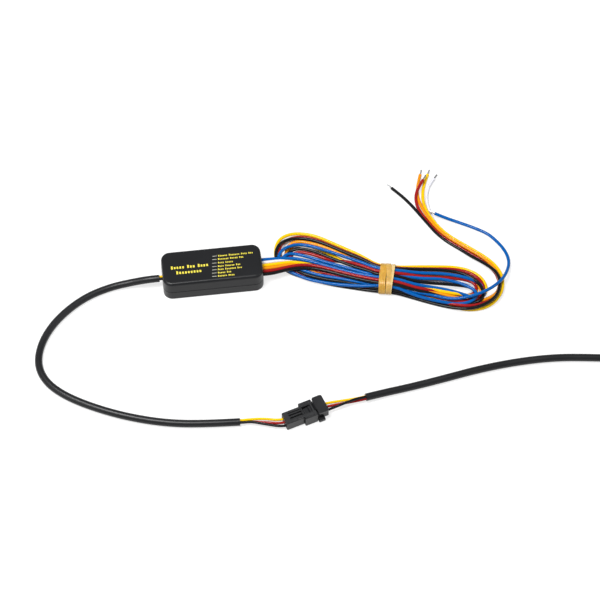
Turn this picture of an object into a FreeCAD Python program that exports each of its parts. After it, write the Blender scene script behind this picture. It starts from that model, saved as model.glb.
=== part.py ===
"""Lamp controller with its wire harness and its plugged lamp lead, in millimetres.

The origin is the centre of the underside of the controller case. +X runs along the case towards the wire
harness, +Y runs across it and +Z points up. The leads, the hank and the connectors lie on the surface that
the case stands on.
"""

import FreeCAD
import Part

import math
import os

import Sketcher
from FreeCAD import Placement, Rotation, Vector

doc = FreeCAD.newDocument("LampController")
sizes = doc.addObject("Spreadsheet::Sheet", "Sizes")

DIMENSIONS = [
    # Controller case
    ("case_length", 63.0, "outside length of the case"),
    ("case_width", 26.3, "outside width of the case"),
    ("case_height", 15.0, "height of the closed case"),
    ("case_corner", 5.8, "radius of the case's upright corners"),
    ("case_wall", 1.4, "thickness of the side walls"),
    ("case_floor", 1.4, "thickness of the floor"),
    ("case_roof", 1.4, "thickness of the roof"),
    ("case_draft", 2.0, "draft angle of the cover's sides, degrees"),
    ("seam_height", 7.0, "height of the joint between base and cover"),
    ("seam_bevel", 0.25, "small bevel on both rims at the joint"),
    ("roof_round", 1.8, "radius around the top of the cover"),
    ("foot_round", 0.6, "radius around the underside of the base"),
    ("tongue_width", 0.6, "thickness of the cover's tongue"),
    ("tongue_depth", 1.3, "depth of the cover's tongue"),
    ("fit_gap", 0.1, "clearance between moulded pieces that fit together"),
    # Circuit board
    ("board_gap", 2.0, "room between the circuit board and the seals"),
    ("board_side_gap", 1.15, "room between the circuit board and the side walls"),
    ("board_thickness", 1.2, "thickness of the circuit board"),
    ("board_corner", 1.5, "corner radius of the circuit board"),
    ("post_height", 2.6, "height of the posts under the board"),
    ("post_width", 3.2, "diameter of the posts"),
    ("post_pin", 1.4, "diameter of the pins that hold the board"),
    ("post_pin_rise", 0.5, "how far the pins stand above the board"),
    ("post_inset", 4.0, "posts from the board's ends"),
    ("post_edge", 2.0, "posts from the board's sides"),
    ("chip_x", 0.09, "control chip, along the board as a share of its length"),
    ("can_x", -0.1176, "supply capacitor, along the board as a share of its length"),
    ("regulator_x", -0.1176, "voltage regulator, along the board as a share of its length"),
    ("transistor_x", -0.265, "power transistors, along the board as a share of its length"),
    ("diode_x", 0.294, "input diodes, along the board as a share of its length"),
    ("chip_length", 8.7, "control chip, length"),
    ("chip_width", 3.9, "control chip, width"),
    ("chip_height", 1.6, "control chip, height above the board"),
    ("lead_pitch", 1.27, "pitch of the control chip's legs"),
    ("leg_length", 1.2, "control chip, length of a leg"),
    ("leg_width", 0.42, "control chip, width of a leg"),
    ("leg_height", 0.6, "control chip, height of a leg"),
    ("can_y", 0.2547, "supply capacitor, across the board as a share of its width"),
    ("can_width", 6.3, "diameter of the supply capacitor"),
    ("can_base_height", 0.9, "height of the supply capacitor's base"),
    ("can_height", 7.0, "height of the supply capacitor"),
    ("diode_length", 4.3, "input diode, length"),
    ("diode_width", 2.3, "input diode, width"),
    ("diode_height", 2.1, "input diode, height"),
    ("diode_gap", 0.7, "room between two input diodes"),
    ("transistor_gap", 1.2, "room between two power transistors"),
    ("tab_plate", 0.5, "thickness of a metal tab on the board"),
    ("regulator_y", -0.2453, "voltage regulator, across the board as a share of its width"),
    ("regulator_length", 6.5, "voltage regulator, length"),
    ("regulator_width", 3.5, "voltage regulator, width"),
    ("regulator_height", 1.6, "voltage regulator, height"),
    ("foot_pitch", 2.3, "pitch of the voltage regulator's feet"),
    ("foot_length", 1.4, "length of the voltage regulator's feet"),
    ("rank_pitch", 2.4, "pitch of the small resistors"),
    ("rank_y", 0.2642, "rows of small resistors, across the board as a share of its width"),
    ("rank_edge", 1.6, "rows of small capacitors, from the board's sides"),
    ("resistor_length", 2.0, "small resistor, length"),
    ("resistor_width", 1.25, "small resistor, width"),
    ("resistor_height", 0.55, "small resistor, height"),
    ("capacitor_height", 1.2, "small capacitor, height"),
    ("transistor_length", 6.4, "power transistor, length"),
    ("transistor_body", 0.7, "power transistor, length of its moulded body as a share"),
    ("transistor_tab", 0.8, "power transistor, width of its tab as a share"),
    ("transistor_width", 5.0, "power transistor, width"),
    ("transistor_height", 2.3, "power transistor, height"),
    ("solder_height", 2.3, "height of a solder joint above the board"),
    ("solder_width", 2.0, "width of a solder joint on the board"),
    ("wire_joint", 4.0, "solder joints of the harness wires, from the board's end"),
    ("core_joint", 6.0, "solder joints of the cable's cores, from the board's end"),
    ("core_pitch", 2.2, "pitch of the solder joints of the cable's cores"),
    ("strand_run", 2.0, "bare strand between the insulation and its solder joint"),
    # Harness of single wires
    ("wire_width", 2.1, "diameter of a single wire"),
    ("wire_pitch", 2.26, "pitch of the wires where they leave the case"),
    ("wire_row_y", -0.3, "middle of the row of wires, across the case"),
    ("wire_gap", 0.1, "clearance around a wire in the case wall"),
    ("lead_drift", 0.018, "how far the wires draw together from point to point outside the case, a share"),
    ("strand_width", 1.1, "diameter of a bare conductor"),
    ("strand_squeeze", 0.9, "diameter of a soldered conductor, as a share of a bare one"),
    ("tip_length", 4.0, "length of a bare wire end"),
    ("seal_thickness", 1.9, "thickness of the rubber seals behind the end walls"),
    ("seal_margin", 0.6, "rubber beside the outermost wires"),
    ("seal_gap", 0.03, "clearance of a wire in its seal"),
    # Hank and its band
    ("hank_height", 5.6, "height of the hank's loops"),
    ("hank_round", 1.8, "radius around the top of the hank"),
    ("waist_height", 7.4, "height of the bundle inside the band"),
    ("band_width", 9.0, "width of the rubber band's strands together"),
    ("band_thickness", 1.0, "thickness of the rubber band"),
    ("band_span", 19.6, "width of the bundle inside the band"),
    ("band_lean", 78.0, "direction of the band across the hank, degrees"),
    # Jacketed cable
    ("cable_width", 4.7, "diameter of the jacketed cable"),
    ("core_width", 1.6, "diameter of a core in the cable"),
    ("cable_row_y", -1.2, "middle of the cable at the case, across it"),
    ("core_mouth", 1.5, "straight start of a core at the end of its jacket"),
    ("core_entry", 4.0, "straight end of a core before its contact"),
    ("jacket_gap", 1.8, "bare cores between the case and the jacket"),
    ("cable_hole", 3.8, "diameter of the hole in the case for the cores"),
    # Three-way connector pair
    ("pin_pitch", 2.5, "pitch of the contacts"),
    ("pin_level", 2.7, "height of the contacts above the connector's underside"),
    ("pin_width", 1.0, "diameter of a pin"),
    ("barrel_width", 1.8, "diameter of the contacts' barrels"),
    ("bore_width", 2.0, "diameter of the contact channels"),
    ("socket_bore", 1.06, "bore of a socket contact"),
    ("contact_depth", 2.5, "receptacle, contacts behind the face where the cores enter"),
    ("barrel_end", 1.0, "receptacle, end of the barrels before the shroud"),
    ("pin_reach", 5.2, "how far the pins stand in the shroud"),
    ("socket_start", 0.4, "socket contacts behind the front of the nose"),
    ("socket_depth", 7.0, "depth of a socket contact's bore"),
    ("socket_recess", 2.9, "plug, contacts behind the face where the cores enter"),
    ("rear_length", 11.5, "receptacle, length of its narrow rear"),
    ("rear_width", 8.8, "receptacle, width of its narrow rear"),
    ("rear_rise", 0.4, "receptacle, underside of the rear above the shroud's"),
    ("rear_height", 6.9, "receptacle, height of its narrow rear"),
    ("shroud_length", 8.2, "receptacle, length of its shroud"),
    ("shroud_width", 12.1, "receptacle, width of its shroud"),
    ("shroud_height", 8.0, "receptacle, height of its shroud"),
    ("shroud_wall", 1.0, "receptacle, wall of its shroud"),
    ("recess_x", 7.3, "receptacle, middle of the recess on its rear"),
    ("recess_length", 8.2, "receptacle, length of the recess on its rear"),
    ("recess_depth", 1.6, "receptacle, depth of the recess on its rear"),
    ("rib_pitch", 1.9, "receptacle, pitch of the ribs in the recess"),
    ("rib_width", 1.0, "receptacle, width of the ribs in the recess"),
    ("rib_height", 1.1, "receptacle, height of the ribs in the recess"),
    ("window_reach", 3.6, "receptacle, window in the shroud behind the hook"),
    ("edge_bevel", 0.3, "small bevels on the connector housings"),
    ("plug_gap", 0.2, "clearance between the mated housings"),
    ("nose_gap", 0.6, "between the plug's nose and the end of the cavity"),
    ("nose_height", 3.2, "plug, height of the nose inside the shroud"),
    ("plug_rise", 0.3, "plug, underside above the surface that it lies on"),
    ("plug_rear", 7.4, "plug, length behind the shroud's mouth"),
    ("plug_width", 9.6, "plug, width behind the shroud's mouth"),
    ("plug_height", 4.9, "plug, height behind the shroud's mouth"),
    ("wing_width", 14.8, "plug, width across its side wings"),
    ("wing_length", 4.2, "plug, length of its side wings"),
    ("wing_height", 2.3, "plug, height of its side wings"),
    ("lever_width", 4.6, "latch lever, width of its arm"),
    ("lever_thickness", 1.0, "latch lever, thickness of its arm"),
    ("lever_clearance", 1.2, "room under the latch lever's arm"),
    ("root_length", 0.7, "plug, length of the block that carries the latch lever"),
    ("pivot_radius", 0.8, "latch lever, radius of its pivot"),
    ("pivot_gap", 0.05, "clearance around the latch lever's pivot"),
    ("hook_length", 1.8, "latch lever, length of its hook"),
    ("hook_height", 0.8, "latch lever, height of its hook"),
    ("hook_slope", 0.6, "latch lever, length of its hook's slope"),
    ("hook_inset", 2.2, "latch lever, hook behind the shroud's mouth"),
    ("ramp_start", 0.8, "latch lever, start of its ramp before the shroud's mouth"),
    ("ramp_length", 1.4, "latch lever, length of its ramp up to the thumb tab"),
    ("ramp_wall", 0.4, "latch lever, thickness of its ramp along the lever"),
    ("tab_corner", 1.2, "latch lever, corner radius of its thumb tab"),
    ("tab_width", 12.4, "latch lever, width of its thumb tab"),
    ("tab_length", 6.6, "latch lever, length of its thumb tab"),
    ("tab_thickness", 1.1, "latch lever, thickness of its thumb tab"),
    ("tab_rise", 1.7, "latch lever, thumb tab above the arm"),
    # Coil of the lamp lead
    ("coil_radius", 24.5, "radius of the coil at the middle of its turns"),
    ("coil_width", 9.6, "width of the coil's ring"),
    ("coil_height", 8.8, "height of the coil's ring"),
    ("tie_width", 4.0, "width of the coil's tie"),
    ("tie_thickness", 0.8, "thickness of the coil's tie"),
]

for row, (alias, number, note) in enumerate(DIMENSIONS, start=1):
    sizes.set(f"A{row}", alias)
    sizes.set(f"B{row}", str(number))
    sizes.set(f"C{row}", note)
    sizes.setAlias(f"B{row}", alias)
doc.recompute()

SIZE = {alias: float(sizes.get(alias)) for alias, _, _ in DIMENSIONS}
CONTACTS = 3
CHIP_LEGS = 7
NODES = {}


def number(expression):
    """The value of an expression on the sheet."""
    return float(sizes.evalExpression(expression.replace("Sizes.", "")))


def keep(node, feature):
    """The feature is the sub-part of this name."""
    feature.Label = node
    NODES[node] = feature
    return feature


# ---------------------------------------------------------------- sketches and features


def new_body(name):
    body = doc.addObject("PartDesign::Body", name)
    return keep(name, body)


def new_sketch(body, role="XY_Plane", x="0", y="0", z="0"):
    """A sketch on one of the body's own origin planes, moved in that plane's own directions."""
    sketch = body.newObject("Sketcher::SketchObject", f"{body.Name}_sketch")
    support = next(f for f in body.Origin.OriginFeatures if f.Role == role)
    sketch.AttachmentSupport = [(support, "")]
    sketch.MapMode = "FlatFace"
    sketch.setExpression("AttachmentOffset.Base.x", x)
    sketch.setExpression("AttachmentOffset.Base.y", y)
    sketch.setExpression("AttachmentOffset.Base.z", z)
    return sketch


def dimension(sketch, kind, geometry, expression, name):
    """One driving dimension of a sketch, bound to the sheet."""
    index = sketch.addConstraint(Sketcher.Constraint(kind, *geometry, number(expression)))
    sketch.renameConstraint(index, name)
    sketch.setExpression(f"Constraints.{name}", expression)


def rectangle(sketch, length, width, name="box"):
    """A rectangle centred on the sketch's origin."""
    x = number(length) / 2
    y = number(width) / 2
    corners = [Vector(-x, -y, 0), Vector(x, -y, 0), Vector(x, y, 0), Vector(-x, y, 0)]
    first = sketch.GeometryCount
    for i in range(4):
        sketch.addGeometry(Part.LineSegment(corners[i], corners[(i + 1) % 4]), False)
    for i in range(4):
        joint = (first + i, 2, first + (i + 1) % 4, 1)
        sketch.addConstraint(Sketcher.Constraint("Coincident", *joint))
    for i, kind in enumerate(("Horizontal", "Vertical", "Horizontal", "Vertical")):
        sketch.addConstraint(Sketcher.Constraint(kind, first + i))
    sketch.addConstraint(Sketcher.Constraint("Symmetric", first, 1, first + 2, 1, -1, 1))
    dimension(sketch, "DistanceX", (first, 1, first, 2), length, f"{name}_length")
    dimension(sketch, "DistanceY", (first + 1, 1, first + 1, 2), width, f"{name}_width")


def rounded_rectangle(sketch, length, width, radius, name="ring"):
    """A rectangle with round corners, centred on the sketch's origin."""
    r = number(radius)
    x = number(length) / 2 - r
    y = number(width) / 2 - r
    up = Vector(0, 0, 1)
    centres = [Vector(x, y, 0), Vector(-x, y, 0), Vector(-x, -y, 0), Vector(x, -y, 0)]
    first = sketch.GeometryCount
    arcs = []
    for i, centre in enumerate(centres):
        start = i * math.pi / 2
        arcs.append(Part.ArcOfCircle(Part.Circle(centre, up, r), start, start + math.pi / 2))
        sketch.addGeometry(arcs[-1], False)
    for i in range(4):
        line = Part.LineSegment(arcs[i].EndPoint, arcs[(i + 1) % 4].StartPoint)
        sketch.addGeometry(line, False)
    for i in range(4):
        arc = first + i
        line = first + 4 + i
        following = first + (i + 1) % 4
        sketch.addConstraint(Sketcher.Constraint("Tangent", arc, 2, line, 1))
        sketch.addConstraint(Sketcher.Constraint("Tangent", line, 2, following, 1))
    for i in (1, 2, 3):
        sketch.addConstraint(Sketcher.Constraint("Equal", first, first + i))
    sketch.addConstraint(Sketcher.Constraint("Horizontal", first + 4))
    sketch.addConstraint(Sketcher.Constraint("Symmetric", first, 3, first + 2, 3, -1, 1))
    dimension(sketch, "Radius", (first,), radius, f"{name}_radius")
    top = (first + 4, 2, first + 4, 1)
    dimension(sketch, "DistanceX", top, f"{length} - 2 * ({radius})", f"{name}_flat")
    side = (first + 5, 2, first + 5, 1)
    dimension(sketch, "DistanceY", side, f"{width} - 2 * ({radius})", f"{name}_side")


def circle(sketch, diameter, x="0", y="0", name="hole"):
    """A circle at a place in the sketch."""
    place = Vector(number(x), number(y), 0)
    index = sketch.addGeometry(Part.Circle(place, Vector(0, 0, 1), number(diameter) / 2), False)
    dimension(sketch, "Diameter", (index,), diameter, f"{name}_diameter")
    for kind, expression in (("DistanceX", x), ("DistanceY", y)):
        if expression == "0":
            across = "PointOnObject"
            axis = -2 if kind == "DistanceX" else -1
            sketch.addConstraint(Sketcher.Constraint(across, index, 3, axis))
        else:
            dimension(sketch, kind, (-1, 1, index, 3), expression, f"{name}_{kind[-1].lower()}")


def polygon(sketch, points):
    """A closed outline of straight lines; each corner is held by two dimensions bound to the sheet."""
    first = sketch.GeometryCount
    places = [Vector(number(x), number(y), 0) for x, y in points]
    for i, place in enumerate(places):
        sketch.addGeometry(Part.LineSegment(place, places[(i + 1) % len(places)]), False)
    for i in range(len(places)):
        joint = (first + i, 2, first + (i + 1) % len(places), 1)
        sketch.addConstraint(Sketcher.Constraint("Coincident", *joint))
    for i, (x, y) in enumerate(points):
        dimension(sketch, "DistanceX", (-1, 1, first + i, 1), x, f"corner{i}_x")
        dimension(sketch, "DistanceY", (-1, 1, first + i, 1), y, f"corner{i}_y")


def pad(body, sketch, length, back=False, middle=False, draft=None):
    feature = body.newObject("PartDesign::Pad", f"{body.Name}_pad")
    feature.Profile = sketch
    feature.setExpression("Length", length)
    feature.Reversed = back
    feature.Midplane = middle
    if draft:
        feature.setExpression("TaperAngle", f"-({draft})")
    doc.recompute()
    return feature


def pocket(body, sketch, length, back=False, middle=False):
    """A pocket, which has to take something away."""
    before = body.Shape.Volume
    feature = body.newObject("PartDesign::Pocket", f"{body.Name}_pocket")
    feature.Profile = sketch
    feature.setExpression("Length", length)
    feature.Reversed = back
    feature.Midplane = middle
    doc.recompute()
    if body.Shape.Volume > before - 0.01:
        raise RuntimeError(f"{feature.Name} cuts nothing")
    return feature


def soften(body, kind, size, chosen):
    """A fillet or a bevel on the edges of the body that the test chooses."""
    base = body.Tip
    edges = [f"Edge{i}" for i, edge in enumerate(base.Shape.Edges, start=1) if chosen(edge)]
    feature = body.newObject(f"PartDesign::{kind}", f"{body.Name}_{kind.lower()}")
    feature.Base = (base, edges)
    feature.setExpression("Radius" if kind == "Fillet" else "Size", size)
    doc.recompute()
    if "Invalid" in feature.State:
        raise RuntimeError(f"{feature.Name} fails on {len(edges)} edges")
    return feature


TOUCH = 0.001


def edge_at_height(height):
    """Chooses the edges that lie flat at this height."""

    def chosen(edge):
        box = edge.BoundBox
        return abs(box.ZMin - height) < TOUCH and abs(box.ZMax - height) < TOUCH

    return chosen


def edge_at_side(reach):
    """Chooses the edges that reach this far to either side along Y."""

    def chosen(edge):
        box = edge.BoundBox
        return max(box.YMax, -box.YMin) > reach - TOUCH

    return chosen


def primitive(kind, name, place, turn=None, **expressions):
    """A Part primitive whose sizes and place are bound to the sheet."""
    feature = doc.addObject(f"Part::{kind}", name)
    for key, expression in expressions.items():
        feature.setExpression(key, expression)
    if turn:
        feature.Placement = Placement(Vector(), turn)
    for axis, expression in zip("xyz", place):
        feature.setExpression(f"Placement.Base.{axis}", expression)
    return feature


def block(name, x, y, z, length, width, height):
    """A box centred on x and y and standing at height z."""
    place = (f"{x} - ({length}) / 2", f"{y} - ({width}) / 2", z)
    return primitive("Box", name, place, Length=length, Width=width, Height=height)


def rod(name, x, y, z, diameter, length):
    """A round bar along +X, from x."""
    turn = Rotation(Vector(0, 1, 0), 90)
    return primitive("Cylinder", name, (x, y, z), turn, Radius=f"({diameter}) / 2", Height=length)


def group(node, members):
    """Separate solids that share one node."""
    feature = doc.addObject("Part::Compound", f"{node}_group")
    feature.Links = members
    return keep(node, feature)


def joined(name, members):
    feature = doc.addObject("Part::MultiFuse", name)
    feature.Shapes = members
    return feature


# ---------------------------------------------------------------- controller case

HALF_LENGTH = "Sizes.case_length / 2"
INNER_LENGTH = "Sizes.case_length - 2 * Sizes.case_wall"
INNER_WIDTH = "Sizes.case_width - 2 * Sizes.case_wall"
INNER_CORNER = "Sizes.case_corner - Sizes.case_wall"
SEAL_FACE = f"{HALF_LENGTH} - Sizes.case_wall - Sizes.tongue_width - Sizes.fit_gap"
BOARD_END = f"({SEAL_FACE} - Sizes.seal_thickness - Sizes.board_gap)"
BOARD_SIDE = f"({INNER_WIDTH} - 2 * Sizes.board_side_gap) / 2"
BOARD_LEVEL = "Sizes.case_floor + Sizes.post_height"
BOARD_TOP = "Sizes.case_floor + Sizes.post_height + Sizes.board_thickness"
WIRES = ["blue", "white", "yellow", "orange", "red", "black"]


def wire_y(i):
    """Where wire i of the row leaves the case, across it; the first is the farthest one along +Y."""
    return f"Sizes.wire_row_y + Sizes.wire_pitch * {(len(WIRES) - 1) / 2 - i}"


def posts():
    for x in (-1, 1):
        for y in (-1, 1):
            yield f"{x} * ({BOARD_END} - Sizes.post_inset)", f"{y} * ({BOARD_SIDE} - Sizes.post_edge)"


def along_board(share):
    """A place along the circuit board that keeps its share of the board's length."""
    return f"2 * Sizes.{share} * {BOARD_END}"


def across_board(share):
    """A place across the circuit board that keeps its share of the board's width."""
    return f"2 * Sizes.{share} * ({BOARD_SIDE})"


def wire_slot(sketch, gap):
    """A slot with round ends, which the row of wires passes through."""
    height = f"Sizes.wire_width + 2 * {gap}"
    length = f"{len(WIRES) - 1} * Sizes.wire_pitch + {height}"
    rounded_rectangle(sketch, length, height, "Sizes.wire_width / 2")


def cut_outlets(body):
    """The ways for the wires and for the cable's cores, half in the base and half in the cover."""
    cut = "Sizes.case_wall + Sizes.tongue_width + 2"
    right = new_sketch(body, "YZ_Plane", "Sizes.wire_row_y", "Sizes.seam_height", f"{HALF_LENGTH} + 1")
    wire_slot(right, "Sizes.wire_gap")
    pocket(body, right, cut)
    left = new_sketch(body, "YZ_Plane", y="Sizes.seam_height", z=f"-({HALF_LENGTH} + 1)")
    circle(left, "Sizes.cable_hole", x="Sizes.cable_row_y", name="cable")
    pocket(body, left, cut, back=True)


def case_base():
    body = new_body("case_base")
    outline = new_sketch(body)
    rounded_rectangle(outline, "Sizes.case_length", "Sizes.case_width", "Sizes.case_corner")
    pad(body, outline, "Sizes.seam_height")
    soften(body, "Fillet", "Sizes.foot_round", edge_at_height(0))
    soften(body, "Chamfer", "Sizes.seam_bevel", edge_at_height(SIZE["seam_height"]))
    hollow = new_sketch(body, z="Sizes.seam_height")
    rounded_rectangle(hollow, INNER_LENGTH, INNER_WIDTH, INNER_CORNER)
    pocket(body, hollow, "Sizes.seam_height - Sizes.case_floor")
    rebate = new_sketch(body, z="Sizes.seam_height")
    wider = "2 * (Sizes.tongue_width + Sizes.fit_gap)"
    corner = f"{INNER_CORNER} + Sizes.tongue_width + Sizes.fit_gap"
    rounded_rectangle(rebate, f"{INNER_LENGTH} + {wider}", f"{INNER_WIDTH} + {wider}", corner)
    pocket(body, rebate, "Sizes.tongue_depth + Sizes.fit_gap")
    for x, y in posts():
        post = new_sketch(body, x=x, y=y, z="Sizes.case_floor")
        circle(post, "Sizes.post_width")
        pad(body, post, "Sizes.post_height")
        pin = new_sketch(body, x=x, y=y, z=BOARD_LEVEL)
        circle(pin, "Sizes.post_pin")
        pad(body, pin, "Sizes.board_thickness + Sizes.post_pin_rise")
    cut_outlets(body)


def case_cover():
    body = new_body("case_cover")
    outline = new_sketch(body, z="Sizes.seam_height")
    rounded_rectangle(outline, "Sizes.case_length", "Sizes.case_width", "Sizes.case_corner")
    height = "Sizes.case_height - Sizes.seam_height"
    pad(body, outline, height, draft="Sizes.case_draft")
    soften(body, "Fillet", "Sizes.roof_round", edge_at_height(SIZE["case_height"]))
    soften(body, "Chamfer", "Sizes.seam_bevel", edge_at_height(SIZE["seam_height"]))
    hollow = new_sketch(body, z="Sizes.seam_height")
    rounded_rectangle(hollow, INNER_LENGTH, INNER_WIDTH, INNER_CORNER)
    pocket(body, hollow, f"{height} - Sizes.case_roof", back=True)
    tongue = new_sketch(body, z="Sizes.seam_height + Sizes.tongue_depth")
    wider = "2 * Sizes.tongue_width"
    corner = f"{INNER_CORNER} + Sizes.tongue_width"
    rounded_rectangle(tongue, f"{INNER_LENGTH} + {wider}", f"{INNER_WIDTH} + {wider}", corner)
    rounded_rectangle(tongue, INNER_LENGTH, INNER_WIDTH, INNER_CORNER, name="inside")
    pad(body, tongue, "2 * Sizes.tongue_depth", back=True)
    cut_outlets(body)


def circuit_board():
    body = new_body("circuit_board")
    outline = new_sketch(body, z=BOARD_LEVEL)
    rounded_rectangle(outline, f"2 * {BOARD_END}", f"2 * {BOARD_SIDE}", "Sizes.board_corner")
    pad(body, outline, "Sizes.board_thickness")
    for x, y in posts():
        hole = new_sketch(body, x=x, y=y, z=BOARD_TOP)
        circle(hole, "Sizes.post_pin + 2 * Sizes.fit_gap")
        pocket(body, hole, "Sizes.board_thickness")


def seals():
    """Rubber strips behind the end walls, which grip the wires and the cable's cores."""
    rise = "Sizes.case_height - Sizes.case_roof - Sizes.case_floor - Sizes.fit_gap"
    strip_width = f"{len(WIRES)} * Sizes.wire_pitch + 2 * Sizes.seal_margin"
    for name, side, y, width in (
        ("harness_seal", 1, "Sizes.wire_row_y", strip_width),
        ("cable_seal", -1, "Sizes.cable_row_y", "Sizes.cable_hole + 4 * Sizes.seal_margin"),
    ):
        body = new_body(name)
        middle = f"{side} * ({SEAL_FACE} - Sizes.seal_thickness / 2)"
        outline = new_sketch(body, x=middle, y=y, z="Sizes.case_floor")
        rectangle(outline, "Sizes.seal_thickness", width)
        pad(body, outline, rise)
        ways = new_sketch(body, "YZ_Plane", y, "Sizes.seam_height", middle)
        if side > 0:
            wire_slot(ways, "Sizes.seal_gap")
        else:
            circle(ways, "Sizes.cable_hole - 2 * Sizes.fit_gap")
        pocket(body, ways, "Sizes.seal_thickness + 2", middle=True)


# ---------------------------------------------------------------- what stands on the board


def control_chip():
    middle = along_board("chip_x")
    place = (middle, "0", BOARD_TOP)
    parts = [block("chip_body", *place, "Sizes.chip_length", "Sizes.chip_width", "Sizes.chip_height")]
    leg = ("Sizes.leg_width", "Sizes.leg_length", "Sizes.leg_height")
    for side in (-1, 1):
        for i in range(CHIP_LEGS):
            x = f"{middle} + Sizes.lead_pitch * {i - (CHIP_LEGS - 1) / 2}"
            y = f"{side} * (Sizes.chip_width + Sizes.leg_length) / 2"
            parts.append(block("chip_leg", x, y, BOARD_TOP, *leg))
    keep("control_chip", joined("chip", parts))


def supply_capacitor():
    place = (along_board("can_x"), across_board("can_y"), BOARD_TOP)
    side = "Sizes.can_width + 3 * Sizes.fit_gap"
    base = block("can_base", *place, side, side, "Sizes.can_base_height")
    can = primitive("Cylinder", "can", place, Radius="Sizes.can_width / 2", Height="Sizes.can_height")
    keep("supply_capacitor", joined("capacitor", [base, can]))


def power_transistors():
    """One for each core of the lamp cable, with its metal tab."""
    members = []
    for i in range(CONTACTS):
        y = f"{i - 1} * (Sizes.transistor_width + Sizes.transistor_gap)"
        place = (along_board("transistor_x"), y, BOARD_TOP)
        case = block(f"transistor{i}", *place, "Sizes.transistor_length * Sizes.transistor_body",
                     "Sizes.transistor_width", "Sizes.transistor_height")
        tab = block(f"transistor_tab{i}", *place, "Sizes.transistor_length",
                    "Sizes.transistor_width * Sizes.transistor_tab", "Sizes.tab_plate")
        members.append(joined(f"power_transistor{i}", [case, tab]))
    group("power_transistors", members)


def voltage_regulator():
    x = along_board("regulator_x")
    y = across_board("regulator_y")
    parts = [block("regulator_case", x, y, BOARD_TOP, "Sizes.regulator_length", "Sizes.regulator_width",
                   "Sizes.regulator_height")]
    tab_y = f"{y} - Sizes.regulator_width / 2 - Sizes.tab_plate"
    tab = ("Sizes.regulator_length / 2", "3 * Sizes.tab_plate", "Sizes.tab_plate")
    parts.append(block("regulator_tab", x, tab_y, BOARD_TOP, *tab))
    foot_y = f"{y} + (Sizes.regulator_width + Sizes.foot_length) / 2 - Sizes.fit_gap"
    for i in range(-1, 2):
        parts.append(block("regulator_foot", f"{x} + {i} * Sizes.foot_pitch", foot_y, BOARD_TOP,
                           "Sizes.foot_length / 2", "Sizes.foot_length", "Sizes.tab_plate"))
    keep("voltage_regulator", joined("regulator", parts))


def input_diodes():
    """One for each wire of the harness."""
    members = []
    for i in range(len(WIRES)):
        y = f"{i - (len(WIRES) - 1) / 2} * (Sizes.diode_width + Sizes.diode_gap)"
        members.append(block(f"diode{i}", along_board("diode_x"), y, BOARD_TOP, "Sizes.diode_length",
                             "Sizes.diode_width", "Sizes.diode_height"))
    group("input_diodes", members)


def rank(name, count, y, length, width, height):
    """A row of small parts across from the control chip."""
    members = []
    for i in range(count):
        x = f"{along_board('chip_x')} + {i - (count - 1) / 2} * Sizes.rank_pitch"
        members.append(block(f"{name}{i}", x, y, BOARD_TOP, length, width, height))
    return members


def chip_parts():
    """Small resistors and capacitors in rows around the control chip."""
    size = ("Sizes.resistor_width", "Sizes.resistor_length", "Sizes.resistor_height")
    far = rank("resistor", 5, across_board("rank_y"), *size)
    group("chip_resistors", far + rank("pull_up", 3, f"-{across_board('rank_y')}", *size))
    size = ("Sizes.resistor_length", "Sizes.resistor_width", "Sizes.capacitor_height")
    edge = f"({BOARD_SIDE} - Sizes.rank_edge)"
    group("chip_capacitors", rank("capacitor", 3, edge, *size) + rank("filter", 2, f"-1 * {edge}", *size))


def board_solder():
    """The soldered ends of the six wires and the three cores."""
    places = [(f"{BOARD_END} - Sizes.wire_joint", wire_y(i), 1) for i in range(len(WIRES))]
    places += [(f"Sizes.core_joint - {BOARD_END}", f"Sizes.cable_row_y + {i - 1} * Sizes.core_pitch", -1)
               for i in range(CONTACTS)]
    members = []
    for i, (x, y, side) in enumerate(places):
        cone = primitive("Cone", f"solder_cone{i}", (x, y, BOARD_TOP), Radius1="Sizes.solder_width / 2",
                         Radius2="Sizes.strand_width / 2", Height="Sizes.solder_height")
        start = x if side > 0 else f"{x} - Sizes.strand_run"
        strand = rod(f"solder_strand{i}", start, y, "Sizes.seam_height",
                     "Sizes.strand_width * Sizes.strand_squeeze", "Sizes.strand_run")
        members.append(joined(f"solder{i}", [cone, strand]))
    group("board_solder", members)


def harness_inner_ends():
    """The wires inside the case, from the board to the outside of the wall."""
    start = f"{BOARD_END} - Sizes.wire_joint + Sizes.strand_run"
    members = []
    for i, colour in enumerate(WIRES):
        place = (start, wire_y(i), "Sizes.seam_height")
        members.append(rod(f"inner_{colour}", *place, "Sizes.wire_width", f"{HALF_LENGTH} - ({start})"))
    group("harness_inner_ends", members)


# ---------------------------------------------------------------- leads


ARC_SHARE = 0.45
TUBE_TOLERANCE = 0.01


def route(points):
    """A wire of straight runs joined by tangent arcs, and the arcs' radii."""
    places = [Vector(*p) for p in points]
    edges = []
    radii = []
    start = places[0]
    for i in range(1, len(places) - 1):
        inward = places[i - 1] - places[i]
        outward = places[i + 1] - places[i]
        turn = math.pi - inward.getAngle(outward)
        reach = ARC_SHARE * min(inward.Length, outward.Length)
        radii.append(reach / math.tan(turn / 2))
        inward.normalize()
        outward.normalize()
        enter = places[i] + inward * reach
        leave = places[i] + outward * reach
        bisector = inward + outward
        bisector.normalize()
        depth = radii[-1] / math.cos(turn / 2) - radii[-1]
        edges.append(Part.LineSegment(start, enter).toShape())
        edges.append(Part.Arc(enter, places[i] + bisector * depth, leave).toShape())
        start = leave
    edges.append(Part.LineSegment(start, places[-1]).toShape())
    return Part.Wire(edges), radii


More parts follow.
